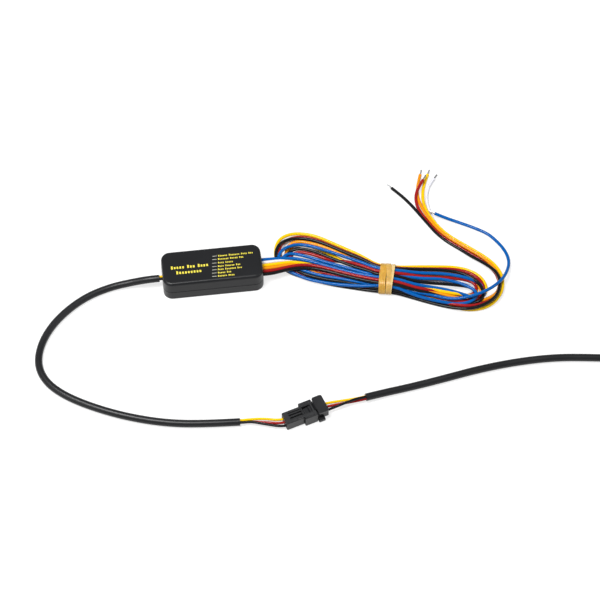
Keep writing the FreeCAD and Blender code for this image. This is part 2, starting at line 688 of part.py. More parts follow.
def tube_shape(points, diameter):
    """A round solid along a route, its volume compared with its section times its length."""
    path, radii = route(points)
    heading = Vector(*points[1]) - Vector(*points[0])
    ring = Part.Wire(Part.Circle(Vector(*points[0]), heading, diameter / 2).toShape())
    solid = path.makePipeShell([ring], True, False)
    expected = path.Length * math.pi * diameter**2 / 4
    if abs(solid.Volume - expected) > TUBE_TOLERANCE * expected:
        raise RuntimeError(f"a tube holds {solid.Volume:.1f} and not {expected:.1f}")
    return solid, path.Length, radii


def lead(node, points, diameter, trim=None):
    """A lead's tube as a sub-part; trim is the shape that it stops at, face to face."""
    solid, length, radii = tube_shape(points, diameter)
    if trim:
        solid = max(solid.cut(trim).Solids, key=lambda piece: piece.Volume)
    feature = doc.addObject("Part::Feature", node)
    feature.Shape = solid
    print(f"{node}: {length:.1f} long, smallest radius {min(radii):.1f}")
    return keep(node, feature)


def lead_group(node, routes, diameter):
    """Several short leads that share one node."""
    solids = []
    for points in routes:
        solid, length, radii = tube_shape(points, diameter)
        print(f"{node}: {length:.1f} long, smallest radius {min(radii):.1f}")
        solids.append(solid)
    feature = doc.addObject("Part::Feature", node)
    feature.Shape = Part.makeCompound(solids)
    keep(node, feature)


CORES_LOW = (30, 270, 150)
CORES_CROSSED = (200, 320, 80)


def core_ends(inner, end, angles):
    """The straight start of each core at the end of a jacket; angles are in degrees, 0 on its left side."""
    heading = (Vector(*end) - Vector(*inner)).normalize()
    side = Vector(-heading.y, heading.x, 0).normalize()
    rise = heading.cross(side)
    reach = SIZE["core_width"] / math.sqrt(3)
    starts = []
    for angle in map(math.radians, angles):
        place = Vector(*end) + side * (reach * math.cos(angle)) + rise * (reach * math.sin(angle))
        starts.append([tuple(place), tuple(place + heading * SIZE["core_mouth"])])
    return starts


EXIT_X = SIZE["case_length"] / 2
JACKET_START = Vector(-EXIT_X - SIZE["jacket_gap"], SIZE["cable_row_y"], SIZE["seam_height"])
CABLE_LEVEL = SIZE["cable_width"] / 2
WIRE_LEVEL = SIZE["wire_width"] / 2
WIRE_EXIT = SIZE["seam_height"]

CONTROLLER_CABLE = [
    tuple(JACKET_START),
    (-37.6, SIZE["cable_row_y"], SIZE["seam_height"]),
    (-43.6, -0.7, 5.9),
    (-52.0, 0.2, 3.4),
    (-64.0, -0.9, CABLE_LEVEL),
    (-78.5, -5.9, CABLE_LEVEL),
    (-91.8, -14.8, CABLE_LEVEL),
    (-103.2, -26.6, CABLE_LEVEL),
    (-110.6, -40.4, CABLE_LEVEL),
    (-112.9, -54.4, CABLE_LEVEL),
    (-108.6, -67.0, CABLE_LEVEL),
    (-98.6, -77.6, CABLE_LEVEL),
    (-83.2, -87.6, CABLE_LEVEL),
    (-63.0, -97.3, CABLE_LEVEL),
    (-40.0, -104.8, CABLE_LEVEL),
    (-17.0, -108.4, CABLE_LEVEL),
    (5.8, -109.6, CABLE_LEVEL),
]

CONNECTOR_TURN = 17.5
CONNECTOR = Placement(Vector(32.2, -113.65, 0), Rotation(Vector(0, 0, 1), CONNECTOR_TURN))


LAMP_START = (83.2, -101.9, 3.4)
COIL_CENTRE = (271.0, -67.0)
COIL_LEVEL = SIZE["tie_thickness"] + CABLE_LEVEL

LAMP_LEAD = [
    LAMP_START,
    (93.5, -99.8, 2.8),
    (110.0, -97.4, CABLE_LEVEL),
    (131.0, -93.9, CABLE_LEVEL),
    (154.0, -89.5, CABLE_LEVEL),
    (178.0, -86.8, CABLE_LEVEL),
    (203.0, -86.4, CABLE_LEVEL),
    (226.0, -89.4, CABLE_LEVEL),
    (248.0, COIL_CENTRE[1] - SIZE["coil_radius"] + 0.4, 2.6),
    (268.0, COIL_CENTRE[1] - SIZE["coil_radius"], COIL_LEVEL),
]

LAMP_LEAD_END = [
    (COIL_CENTRE[0] + SIZE["coil_radius"] - 1.0, COIL_CENTRE[1] + 6.0, COIL_LEVEL),
    (295.0, -46.0, COIL_LEVEL),
    (294.2, -31.0, 2.7),
    (292.0, -16.0, CABLE_LEVEL),
]

HANK_LEADS = {
    "blue": [(36.0, WIRE_EXIT), (41.0, 6.4), (46.0, 5.4), (51.0, 4.1)],
    "white": [(36.0, WIRE_EXIT), (41.0, 6.5), (46.5, 5.6), (52.0, 4.3)],
    "yellow": [(36.0, WIRE_EXIT), (41.5, 6.5), (47.0, 5.6), (53.0, 4.2)],
    "orange": [(36.5, WIRE_EXIT), (42.0, 6.5), (48.0, 5.6), (54.5, 4.1)],
    "red": [(36.5, WIRE_EXIT), (42.5, 6.5), (49.5, 5.5), (56.5, 4.0)],
    "black": [(37.0, WIRE_EXIT), (44.0, 6.3), (51.0, 5.3), (58.5, 3.8)],
}

HANK_OUTLINE = [
    (40.0, 11.5),
    (43.5, 18.8),
    (50.0, 24.2),
    (58.0, 26.6),
    (66.5, 25.6),
    (77.0, 20.4),
    (91.0, 8.8),
    (105.0, -2.6),
    (117.0, -7.4),
    (133.0, -8.6),
    (149.0, -9.8),
    (160.0, -14.2),
    (168.2, -23.0),
    (169.6, -32.0),
    (164.5, -40.4),
    (155.5, -44.8),
    (143.5, -41.8),
    (126.0, -33.0),
    (109.5, -26.0),
    (91.0, -20.4),
    (72.0, -14.4),
    (57.0, -8.0),
    (45.6, 1.4),
]

HANK_EYE = [
    (132.5, -22.6),
    (141.0, -21.8),
    (151.0, -24.2),
    (158.6, -29.6),
    (155.4, -31.6),
    (146.0, -28.8),
    (137.0, -25.4),
]

BAND_CENTRE = (108.2, -16.6)
TIE_DIRECTION = 150
END_CONNECTOR = Placement(Vector(290.4, -5.0, 0), Rotation(Vector(0, 0, 1), 90))

WIRE_TAILS = {
    "black": [
        (151.5, -44.9, 1.2), (159.1, -46.0, 3.0), (167.3, -44.5, 4.8), (173.4, -40.0, 5.5),
        (176.7, -33.7, 5.4), (178.3, -27.1, 5.4), (177.1, -20.2, 5.3), (173.3, -14.6, 4.1),
        (168.9, -9.2, 2.9), (163.9, -4.0, 1.7), (158.1, 2.6, WIRE_LEVEL), (150.8, 9.4, WIRE_LEVEL),
        (145.0, 16.9, WIRE_LEVEL), (140.9, 24.7, WIRE_LEVEL), (136.4, 33.6, WIRE_LEVEL),
        (132.0, 42.0, WIRE_LEVEL), (126.9, 50.0, WIRE_LEVEL), (121.8, 56.4, WIRE_LEVEL),
    ],
    "red": [
        (152.2, -40.5, 3.15), (159.2, -41.5, 3.15), (166.3, -40.8, 3.15), (172.1, -38.3, 3.15),
        (176.2, -33.5, 3.15), (178.2, -27.1, 3.15), (177.9, -20.0, 3.15), (175.1, -13.6, 3.1),
        (170.6, -7.7, 3.0), (165.2, -2.6, 2.9), (158.8, 3.4, 2.9), (151.6, 10.2, 2.9), (145.9, 17.5, 2.9),
        (141.8, 25.2, 2.9), (138.2, 32.4, 2.9), (135.9, 39.2, 2.6), (135.7, 46.0, 2.9), (138.0, 52.2, 3.4),
        (142.4, 58.2, 4.2),
    ],
    "orange": [
        (152.2, -40.5, WIRE_LEVEL), (159.2, -41.5, WIRE_LEVEL), (166.3, -40.8, WIRE_LEVEL),
        (172.1, -38.3, WIRE_LEVEL), (176.2, -33.5, WIRE_LEVEL), (178.2, -27.1, WIRE_LEVEL),
        (178.2, -20.0, WIRE_LEVEL), (175.7, -13.2, WIRE_LEVEL), (171.4, -7.0, WIRE_LEVEL),
        (166.0, -1.8, WIRE_LEVEL), (159.6, 4.2, WIRE_LEVEL), (152.4, 10.9, WIRE_LEVEL),
        (146.8, 18.1, WIRE_LEVEL), (142.8, 25.7, WIRE_LEVEL), (139.4, 33.6, WIRE_LEVEL),
        (137.7, 41.6, WIRE_LEVEL), (137.4, 49.6, WIRE_LEVEL), (138.9, 57.2, WIRE_LEVEL),
        (141.7, 64.9, WIRE_LEVEL),
    ],
    "yellow": [
        (151.8, -42.7, 3.15), (159.2, -43.7, 3.15), (166.9, -43.0, 3.15), (173.5, -40.1, 3.15),
        (178.2, -34.5, 3.15), (180.4, -27.3, 3.15), (180.1, -19.6, 3.15), (176.9, -12.4, 3.1),
        (172.2, -6.3, 2.9), (166.8, -1.0, 2.9), (160.4, 5.0, 2.9), (153.2, 11.6, 2.9), (147.7, 18.7, 2.9),
        (143.8, 26.2, 2.9), (141.3, 34.0, 2.2), (140.2, 42.0, 1.3), (141.0, 50.0, WIRE_LEVEL),
        (143.2, 57.6, WIRE_LEVEL), (146.5, 64.5, WIRE_LEVEL),
    ],
    "white": [
        (151.8, -42.7, WIRE_LEVEL), (159.2, -43.7, WIRE_LEVEL), (166.9, -43.0, WIRE_LEVEL),
        (173.5, -40.1, WIRE_LEVEL), (178.2, -34.5, WIRE_LEVEL), (180.4, -27.3, WIRE_LEVEL),
        (180.3, -19.5, WIRE_LEVEL), (177.5, -12.1, WIRE_LEVEL), (173.0, -5.5, WIRE_LEVEL),
        (167.5, -0.2, WIRE_LEVEL), (161.1, 5.8, WIRE_LEVEL), (154.0, 12.4, WIRE_LEVEL),
        (148.6, 19.3, WIRE_LEVEL), (144.7, 26.7, WIRE_LEVEL), (143.2, 34.6, WIRE_LEVEL),
        (142.6, 42.8, WIRE_LEVEL), (143.9, 50.6, WIRE_LEVEL), (146.4, 56.2, WIRE_LEVEL),
        (150.0, 60.6, WIRE_LEVEL),
    ],
    "blue": [
        (146.0, -36.6, 3.6), (153.0, -37.4, 5.2), (159.6, -36.0, 6.6), (165.6, -32.8, 7.2),
        (171.6, -28.4, 7.9), (176.6, -23.4, 8.0), (181.2, -18.0, 5.6), (185.2, -12.6, 3.6),
        (187.6, -6.6, 1.6),
        (187.6, 0.2, WIRE_LEVEL), (184.0, 7.0, WIRE_LEVEL), (177.2, 13.0, WIRE_LEVEL),
        (168.8, 18.9, WIRE_LEVEL), (160.2, 24.0, WIRE_LEVEL), (153.8, 27.2, 1.7), (149.4, 29.5, 2.4),
        (145.8, 31.0, 3.6),
    ],
}


def cable_inner_cores():
    """The three cores inside the case, from the board to the end of the jacket."""
    board_end = SIZE["core_joint"] - SIZE["strand_run"] - number(BOARD_END)
    seal_end = SIZE["seal_thickness"] - number(SEAL_FACE)
    routes = []
    for i, (start, _) in enumerate(core_ends(CONTROLLER_CABLE[1], JACKET_START, CORES_LOW)):
        straight = (seal_end + SIZE["core_mouth"], start[1], start[2])
        side = SIZE["cable_row_y"] + (1 - i) * SIZE["core_pitch"]
        fan = (board_end - SIZE["strand_run"], side, SIZE["seam_height"])
        routes.append([start, straight, fan, (board_end, side, SIZE["seam_height"])])
    lead_group("cable_inner_cores", routes, SIZE["core_width"])


def connector_cores(node, starts, connector, entry_x, side, middles):
    """Three bare cores between the end of a jacket and the contacts of a housing."""
    routes = []
    for i, start in enumerate(starts):
        y = (1 - i) * SIZE["pin_pitch"]
        inside = connector.multVec(Vector(entry_x, y, SIZE["pin_level"]))
        mouth = connector.multVec(Vector(entry_x + side * SIZE["core_entry"], y, SIZE["pin_level"]))
        routes.append(start + middles[i] + [tuple(mouth), tuple(inside)])
    lead_group(node, routes, SIZE["core_width"])


CONTROLLER_CABLE_CORES = [
    [(12.5, -108.9, 2.9), (20.5, -109.4, 2.9)],
    [(12.5, -109.9, 1.6), (20.5, -111.4, 2.0)],
    [(12.5, -110.6, 3.0), (20.5, -113.2, 2.7)],
]
LAMP_LEAD_CORES = [
    [(77.0, -101.5, 2.5), (70.0, -102.0, 2.5)],
    [(77.0, -103.4, 2.5), (69.5, -103.9, 2.3)],
    [(77.0, -103.0, 4.6), (70.0, -105.0, 4.2)],
]


def leads():
    lead("controller_cable", CONTROLLER_CABLE, SIZE["cable_width"])
    depth = SIZE["contact_depth"]
    starts = core_ends(*CONTROLLER_CABLE[-2:], CORES_LOW)
    connector_cores("controller_cable_cores", starts, CONNECTOR, depth, -1, CONTROLLER_CABLE_CORES)
    starts = core_ends(LAMP_LEAD[1], LAMP_START, CORES_CROSSED)
    connector_cores("lamp_lead_cores", starts, CONNECTOR, number(SOCKET_END), 1, LAMP_LEAD_CORES)
    starts = core_ends(*LAMP_LEAD_END[-2:], CORES_LOW)
    connector_cores("lamp_end_cores", starts, END_CONNECTOR, depth, -1, [[], [], []])
    lead("lamp_lead", LAMP_LEAD, SIZE["cable_width"], NODES["lamp_lead_coil"].Shape)
    lead("lamp_lead_end", LAMP_LEAD_END, SIZE["cable_width"], NODES["lamp_lead_coil"].Shape)
    hank = NODES["harness_hank"].Shape
    for i, colour in enumerate(WIRES):
        y = number(wire_y(i))
        drift = (number("Sizes.wire_row_y") - y) * SIZE["lead_drift"]
        points = [(EXIT_X, y, WIRE_EXIT)]
        points += [(x, y + drift * k, z) for k, (x, z) in enumerate(HANK_LEADS[colour])]
        lead(f"{colour}_wire_lead", points, SIZE["wire_width"], hank)
        lead(f"{colour}_wire_tail", WIRE_TAILS[colour], SIZE["wire_width"], hank)


def wire_tips():
    """The bare, tinned ends of the wires."""
    solids = []
    for points in WIRE_TAILS.values():
        end = Vector(*points[-1])
        heading = end - Vector(*points[-2])
        solids.append(Part.makeCylinder(SIZE["strand_width"] / 2, SIZE["tip_length"], end, heading))
    feature = doc.addObject("Part::Feature", "wire_tips")
    feature.Shape = Part.makeCompound(solids)
    keep("wire_tips", feature)


def smooth_face(points):
    curve = Part.BSplineCurve()
    curve.interpolate([Vector(x, y, 0) for x, y in points], PeriodicFlag=True)
    return Part.Face(Part.Wire(curve.toShape()))


def band_ring(thickness):
    """The stretch of the hank's outline under the band, this much thicker all round."""
    turn = Rotation(Vector(0, 0, 1), SIZE["band_lean"] - 90)
    half = SIZE["band_span"] / 2 + thickness
    low = SIZE["band_thickness"] - thickness
    rise = SIZE["waist_height"] + 2 * thickness
    box = Part.makeBox(SIZE["band_width"], 2 * half, rise, Vector(-SIZE["band_width"] / 2, -half, low))
    along = [edge for edge in box.Edges if edge.BoundBox.XLength > SIZE["band_width"] / 2]
    box = box.makeFillet(SIZE["hank_round"] + thickness, along)
    box.Placement = Placement(Vector(*BAND_CENTRE, 0), turn)
    return box


def hank():
    """The folded wires as one closed form, open at the eye."""
    outline = smooth_face(HANK_OUTLINE).cut(smooth_face(HANK_EYE))
    solid = outline.extrude(Vector(0, 0, SIZE["hank_height"]))
    rim = [edge for edge in solid.Edges if abs(edge.BoundBox.ZMin - SIZE["hank_height"]) < 0.01]
    solid = solid.makeFillet(SIZE["hank_round"], rim)
    waist = band_ring(0.0)
    reach = 1.5 * SIZE["band_span"]
    corner = Vector(-SIZE["band_width"] / 2, -reach, -reach)
    gap = Part.makeBox(SIZE["band_width"], 2 * reach, 2 * reach, corner)
    gap.Placement = waist.Placement
    solid = solid.cut(gap).fuse(waist)
    feature = doc.addObject("Part::Feature", "harness_hank")
    feature.Shape = solid.Solids[0]
    keep("harness_hank", feature)


def harness_band():
    """The rubber band around the hank."""
    feature = doc.addObject("Part::Feature", "harness_band")
    feature.Shape = band_ring(SIZE["band_thickness"]).cut(band_ring(0.0))
    keep("harness_band", feature)


# ---------------------------------------------------------------- connector pair

MATED_X = "Sizes.rear_length + Sizes.shroud_length"
CAVITY_WIDTH = "Sizes.shroud_width - 2 * Sizes.shroud_wall"
CAVITY_HEIGHT = "Sizes.shroud_height - 2 * Sizes.shroud_wall"
NOSE_BOTTOM = "Sizes.shroud_wall + Sizes.plug_gap"
NOSE_TOP = "Sizes.shroud_wall + Sizes.plug_gap + Sizes.nose_height"
NOSE_START = "Sizes.rear_length + Sizes.nose_gap"
ARM_BOTTOM = f"{NOSE_TOP} + Sizes.lever_clearance"
ARM_TOP = f"{ARM_BOTTOM} + Sizes.lever_thickness"
TAB_BOTTOM = f"{ARM_BOTTOM} + Sizes.tab_rise"
TAB_TOP = f"{TAB_BOTTOM} + Sizes.tab_thickness"
RAMP_X = f"{MATED_X} - Sizes.ramp_start"
HINGE_X = f"{NOSE_START} + Sizes.root_length + Sizes.pivot_gap + Sizes.pivot_radius"
HINGE_Z = f"{NOSE_TOP} + Sizes.pivot_gap + Sizes.pivot_radius"
HOOK_X = f"{MATED_X} - Sizes.hook_inset - Sizes.hook_length"
PLUG_END = f"{MATED_X} + Sizes.plug_gap + Sizes.plug_rear"
SOCKET_END = f"{PLUG_END} - Sizes.socket_recess"
RECESS_TOP = "Sizes.rear_rise + Sizes.rear_height"
LATCH_WAY = "Sizes.lever_width + 4 * Sizes.plug_gap"


def contact_rows():
    for i in range(CONTACTS):
        yield f"Sizes.pin_pitch * {i - (CONTACTS - 1) / 2}"


def channels(body, start, length):
    """The three round ways for the contacts, from start towards +X."""
    sketch = new_sketch(body, "YZ_Plane", z=start)
    for i, y in enumerate(contact_rows()):
        circle(sketch, "Sizes.bore_width", x=y, y="Sizes.pin_level", name=f"way{i}")
    pocket(body, sketch, length, back=True)


def receptacle(name):
    """A housing that holds pins, with a shroud that takes the plug."""
    body = new_body(name)
    middle = "Sizes.rear_rise + Sizes.rear_height / 2"
    rear = new_sketch(body, "YZ_Plane", y=middle)
    rectangle(rear, "Sizes.rear_width", "Sizes.rear_height")
    pad(body, rear, "Sizes.rear_length")
    soften(body, "Chamfer", "Sizes.edge_bevel", lambda edge: edge.BoundBox.XMin < SIZE["rear_length"] - 1)
    shroud = new_sketch(body, "YZ_Plane", y="Sizes.shroud_height / 2", z="Sizes.rear_length")
    rectangle(shroud, "Sizes.shroud_width", "Sizes.shroud_height")
    pad(body, shroud, "Sizes.shroud_length")
    soften(body, "Chamfer", "Sizes.edge_bevel", edge_at_side(SIZE["shroud_width"] / 2))
    cavity = new_sketch(body, "YZ_Plane", y="Sizes.shroud_height / 2", z=MATED_X)
    rectangle(cavity, CAVITY_WIDTH, CAVITY_HEIGHT)
    pocket(body, cavity, "Sizes.shroud_length")
    channels(body, "-1", "Sizes.rear_length + 2")
    wall = "Sizes.shroud_wall + 2 * Sizes.plug_gap"
    window = new_sketch(body, x=f"{HOOK_X} + (Sizes.hook_length + Sizes.plug_gap - Sizes.window_reach) / 2",
                        z="Sizes.shroud_height")
    rectangle(window, "Sizes.hook_length + Sizes.window_reach + Sizes.plug_gap", LATCH_WAY)
    pocket(body, window, wall)
    notch = new_sketch(body, x=MATED_X, z="Sizes.shroud_height")
    rectangle(notch, "2 * Sizes.ramp_start + Sizes.plug_gap", LATCH_WAY)
    pocket(body, notch, wall)
    recess = new_sketch(body, x="Sizes.recess_x", z=RECESS_TOP)
    rectangle(recess, "Sizes.recess_length", LATCH_WAY)
    pocket(body, recess, "Sizes.recess_depth")
    level = f"{RECESS_TOP} - Sizes.recess_depth"
    for y in (0, 1):
        rib = new_sketch(body, x="Sizes.recess_x", y=f"{y} * Sizes.rib_pitch", z=level)
        rectangle(rib, "Sizes.recess_length", "Sizes.rib_width")
        pad(body, rib, "Sizes.rib_height")
    return body


def pins(name):
    """The three pins of a receptacle, each with the barrel that grips its core."""
    members = []
    for i, y in enumerate(contact_rows()):
        place = ("Sizes.contact_depth", y, "Sizes.pin_level")
        held = "Sizes.rear_length - Sizes.contact_depth"
        barrel = rod(f"{name}_barrel{i}", *place, "Sizes.barrel_width", f"{held} - Sizes.barrel_end")
        pin = rod(f"{name}_pin{i}", *place, "Sizes.pin_width", f"{held} + Sizes.pin_reach")
        members.append(joined(f"{name}{i}", [barrel, pin]))
    return group(name, members)


def plug_housing():
    body = new_body("plug_housing")
    start = f"{MATED_X} + Sizes.plug_gap"
    rear = new_sketch(body, "YZ_Plane", y="Sizes.plug_rise + Sizes.plug_height / 2", z=start)
    rectangle(rear, "Sizes.plug_width", "Sizes.plug_height")
    pad(body, rear, "Sizes.plug_rear")
    soften(body, "Chamfer", "Sizes.edge_bevel", lambda edge: True)
    wings = new_sketch(body, "YZ_Plane", y="Sizes.plug_rise + Sizes.wing_height / 2", z=start)
    rectangle(wings, "Sizes.wing_width", "Sizes.wing_height")
    pad(body, wings, "Sizes.wing_length")
    soften(body, "Chamfer", "Sizes.edge_bevel", edge_at_side(SIZE["wing_width"] / 2))
    nose = new_sketch(body, "YZ_Plane", y=f"{NOSE_BOTTOM} + Sizes.nose_height / 2", z=NOSE_START)
    rectangle(nose, f"{CAVITY_WIDTH} - 2 * Sizes.plug_gap", "Sizes.nose_height")
    pad(body, nose, f"{MATED_X} + 2 * Sizes.plug_gap + Sizes.edge_bevel - ({NOSE_START})")
    front = number(NOSE_START)
    soften(body, "Chamfer", "Sizes.edge_bevel", lambda edge: edge.BoundBox.XMax < front + TOUCH)
    root = new_sketch(body, x=f"{NOSE_START} + Sizes.root_length / 2", z=NOSE_TOP)
    rectangle(root, "Sizes.root_length", "Sizes.lever_width")
    pad(body, root, f"{ARM_TOP} - ({NOSE_TOP})")
    channels(body, f"{NOSE_START} - 1", f"{PLUG_END} - ({NOSE_START}) + 2")
    return keep("plug_housing", body)


def sockets(name):
    """The three socket contacts of the plug, each with the barrel that grips its core."""
    members = []
    for i, y in enumerate(contact_rows()):
        start = f"{NOSE_START} + Sizes.socket_start"
        place = (start, y, "Sizes.pin_level")
        tube = rod(f"{name}_tube{i}", *place, "Sizes.barrel_width", f"{SOCKET_END} - ({start})")
        bore = rod(f"{name}_bore{i}", *place, "Sizes.socket_bore", "Sizes.socket_depth")
        cut = doc.addObject("Part::Cut", f"{name}{i}")
        cut.Base = tube
        cut.Tool = bore
        members.append(cut)
    return group(name, members)


def latch_lever():
    body = new_body("latch_lever")
    side = new_sketch(body, "XZ_Plane")
    polygon(side, [
        (HINGE_X, ARM_BOTTOM),
        (f"{RAMP_X} + Sizes.ramp_wall", ARM_BOTTOM),
        (f"{RAMP_X} + Sizes.ramp_wall + Sizes.ramp_length", TAB_BOTTOM),
        (f"{RAMP_X} + 2 * Sizes.ramp_length", TAB_BOTTOM),
        (f"{RAMP_X} + 2 * Sizes.ramp_length", TAB_TOP),
        (f"{RAMP_X} + Sizes.ramp_length", TAB_TOP),
        (RAMP_X, ARM_TOP),
        (f"{HOOK_X} + Sizes.hook_length", ARM_TOP),
        (f"{HOOK_X} + Sizes.hook_length", f"{ARM_TOP} + Sizes.hook_height"),
        (f"{HOOK_X} + Sizes.hook_slope", f"{ARM_TOP} + Sizes.hook_height"),
        (HOOK_X, ARM_TOP),
        (HINGE_X, ARM_TOP),
    ])
    pad(body, side, "Sizes.lever_width", middle=True)
    tab = new_sketch(body, x=f"{RAMP_X} + Sizes.ramp_length + Sizes.tab_length / 2", z=TAB_BOTTOM)
    rounded_rectangle(tab, "Sizes.tab_length", "Sizes.tab_width", "Sizes.tab_corner")
    pad(body, tab, "Sizes.tab_thickness")
    pivot = new_sketch(body, "XZ_Plane", HINGE_X, HINGE_Z)
    circle(pivot, "2 * Sizes.pivot_radius")
    pad(body, pivot, "Sizes.lever_width", middle=True)
    return body


def connectors():
    mated = [
        receptacle("receptacle_housing"),
        pins("pin_contacts"),
        plug_housing(),
        sockets("socket_contacts"),
        latch_lever(),
    ]
    end = [receptacle("lamp_end_housing"), pins("lamp_end_pins")]
    doc.recompute()
    for feature in mated:
        feature.Placement = CONNECTOR
    for feature in end:
        feature.Placement = END_CONNECTOR


# ---------------------------------------------------------------- coil of the lamp lead


def revolve(body, sketch, angle):
    """Turns a section of the coil's ring around the body's upright axis, to this many degrees in all."""
    ring = body.newObject("PartDesign::Revolution", f"{body.Name}_ring")
    ring.Profile = sketch
    ring.ReferenceAxis = (next(f for f in body.Origin.OriginFeatures if f.Role == "Z_Axis"), [""])
    ring.setExpression("Angle", angle)
    ring.Midplane = True
    doc.recompute()


def lamp_lead_coil():
    """The put-away turns of the lamp lead as one ring."""
    body = new_body("lamp_lead_coil")
    section = new_sketch(body, "XZ_Plane", "Sizes.coil_radius", "Sizes.tie_thickness + Sizes.coil_height / 2")
    rounded_rectangle(section, "Sizes.coil_width", "Sizes.coil_height", "Sizes.cable_width / 2")
    revolve(body, section, "360")
    body.Placement = Placement(Vector(*COIL_CENTRE, 0), Rotation())


def coil_tie():
    """A strap around the coil's ring, on the side away from the case."""
    body = new_body("coil_tie")
    section = new_sketch(body, "XZ_Plane", "Sizes.coil_radius", "Sizes.tie_thickness + Sizes.coil_height / 2")
    wider = "2 * Sizes.tie_thickness"
    corner = "Sizes.cable_width / 2"
    rounded_rectangle(section, f"Sizes.coil_width + {wider}", f"Sizes.coil_height + {wider}",
                      f"{corner} + Sizes.tie_thickness")
    rounded_rectangle(section, "Sizes.coil_width", "Sizes.coil_height", corner, name="inside")
    revolve(body, section, "Sizes.tie_width / Sizes.coil_radius * 180 / pi")
    body.Placement = Placement(Vector(*COIL_CENTRE, 0), Rotation(Vector(0, 0, 1), TIE_DIRECTION))


case_base()
case_cover()
circuit_board()
seals()
control_chip()
supply_capacitor()
power_transistors()
voltage_regulator()
input_diodes()
chip_parts()
board_solder()
harness_inner_ends()
cable_inner_cores()
connectors()
lamp_lead_coil()
coil_tie()
harness_band()
hank()
leads()
wire_tips()
doc.recompute()

os.makedirs("parts", exist_ok=True)
for feature in doc.Objects:
    if {"Invalid", "Error"} & set(feature.State):
        raise RuntimeError(f"{feature.Name} is {feature.State}")
for node, feature in NODES.items():
    if feature.Shape.isNull() or not feature.Shape.isValid():
        raise RuntimeError(f"{node} has no valid shape")
    feature.Shape.exportStep(f"parts/{node}.step")
    print(node, len(feature.Shape.Solids), round(feature.Shape.Volume, 1))
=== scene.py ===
"""Lamp controller with its wire harness and its plugged lamp lead: materials, cords, print and stage.

The origin is the centre of the underside of the controller case. +X runs along the case towards the wire
harness, +Y across it and +Z up. Routes are written in millimetres and laid out in metres.
"""

import math

import bmesh
import bpy
from bpy.props import BoolProperty, FloatProperty, FloatVectorProperty, IntProperty, PointerProperty
from mathutils import Matrix, Vector


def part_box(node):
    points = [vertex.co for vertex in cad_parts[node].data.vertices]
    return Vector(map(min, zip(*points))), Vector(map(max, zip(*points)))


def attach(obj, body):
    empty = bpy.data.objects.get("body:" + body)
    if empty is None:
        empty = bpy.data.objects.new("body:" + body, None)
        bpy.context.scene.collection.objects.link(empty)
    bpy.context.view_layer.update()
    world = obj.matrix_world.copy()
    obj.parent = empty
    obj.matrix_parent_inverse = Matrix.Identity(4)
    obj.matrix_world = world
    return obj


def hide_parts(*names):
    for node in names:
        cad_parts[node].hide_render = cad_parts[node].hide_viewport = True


bl_info = {
    "name": "Lamp controller",
    "version": (1, 0, 0),
    "blender": (4, 5, 0),
    "location": "View3D > Sidebar > Lamp controller",
    "description": "Builds the looks of a lamp controller with its leads over its packed frame",
    "category": "Object",
}

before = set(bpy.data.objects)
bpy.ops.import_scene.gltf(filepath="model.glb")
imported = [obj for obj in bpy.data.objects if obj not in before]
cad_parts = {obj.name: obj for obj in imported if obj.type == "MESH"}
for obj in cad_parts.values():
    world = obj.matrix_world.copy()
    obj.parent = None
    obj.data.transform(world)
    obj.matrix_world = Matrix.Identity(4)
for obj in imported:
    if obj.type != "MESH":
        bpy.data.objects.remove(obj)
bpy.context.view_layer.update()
MM = 0.001
CASE = "controller"
PLUG = "lamp_plug"
COVER_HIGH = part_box("case_cover")[1]

# ---------------------------------------------------------------- routes of the cords

CONTROLLER_CABLE = [
    (-33.3, -1.2, 7.0), (-37.6, -1.2, 7.0), (-43.6, -0.7, 5.9), (-52, 0.2, 3.4), (-64, -0.9, 2.35),
    (-78.5, -5.9, 2.35), (-91.8, -14.8, 2.35), (-103.2, -26.6, 2.35), (-110.6, -40.4, 2.35),
    (-112.9, -54.4, 2.35), (-108.6, -67, 2.35), (-98.6, -77.6, 2.35), (-83.2, -87.6, 2.35),
    (-63, -97.3, 2.35), (-40, -104.8, 2.35), (-17, -108.4, 2.35), (5.8, -109.6, 2.35),
]
LAMP_LEAD = [
    (83.2, -101.9, 3.4), (93.5, -99.8, 2.8), (110, -97.4, 2.35), (131, -93.9, 2.35), (154, -89.5, 2.35),
    (178, -86.8, 2.35), (203, -86.4, 2.35), (226, -89.4, 2.35), (248, -93.1, 2.7),
]
LAMP_LEAD_END = [
    (296.2, -58, 7.4), (296.8, -49, 5.9), (296.2, -40, 3.4), (294.2, -30, 2.35), (292, -16, 2.35),
]
COIL_CENTRE = (271.0, -67.0)
COIL_TURNS = (
    # radius and level of each turn; the lead comes in on the first and leaves from the last
    (27.3, 3.15),
    (22.5, 3.15),
    (24.9, 7.25),
)
COIL_STEPS = 14

# the rubber band: its section across the bundle and its loops, in millimetres
BAND_SECTION = (
    (0.0, 9.2), (4.8, 9.5), (7.8, 8.6), (9.8, 6.5), (11.1, 4.2), (10.6, 1.9), (8.6, 0.45), (0.0, 0.45),
    (-7.4, 0.45), (-9.8, 0.9), (-10.8, 3.1), (-10.0, 6.0), (-7.6, 8.8), (-4.2, 9.3),
)
BAND_REACH = 10.5
BAND_RIDGES = 4
BAND_RIDGE_HEIGHT = 0.2
BAND_THICKNESS = 0.7
# the loops have their ridges only above this level, so that they lie flat below it
RIDGED_ABOVE = 1.0
BAND_LOOPS = (
    # place along the bundle, lean, bow, width, paleness and how far it lies on the loop beside it
    (-2.2, 0.02, -0.5, 4.3, 0.0, 0.0),
    (0.9, -0.05, 0.35, 3.2, 0.2, 0.3),
    (3.1, 0.06, 0.1, 2.2, 0.75, 0.1),
)
PALE_RUBBER = (0.78, 0.6, 0.3)

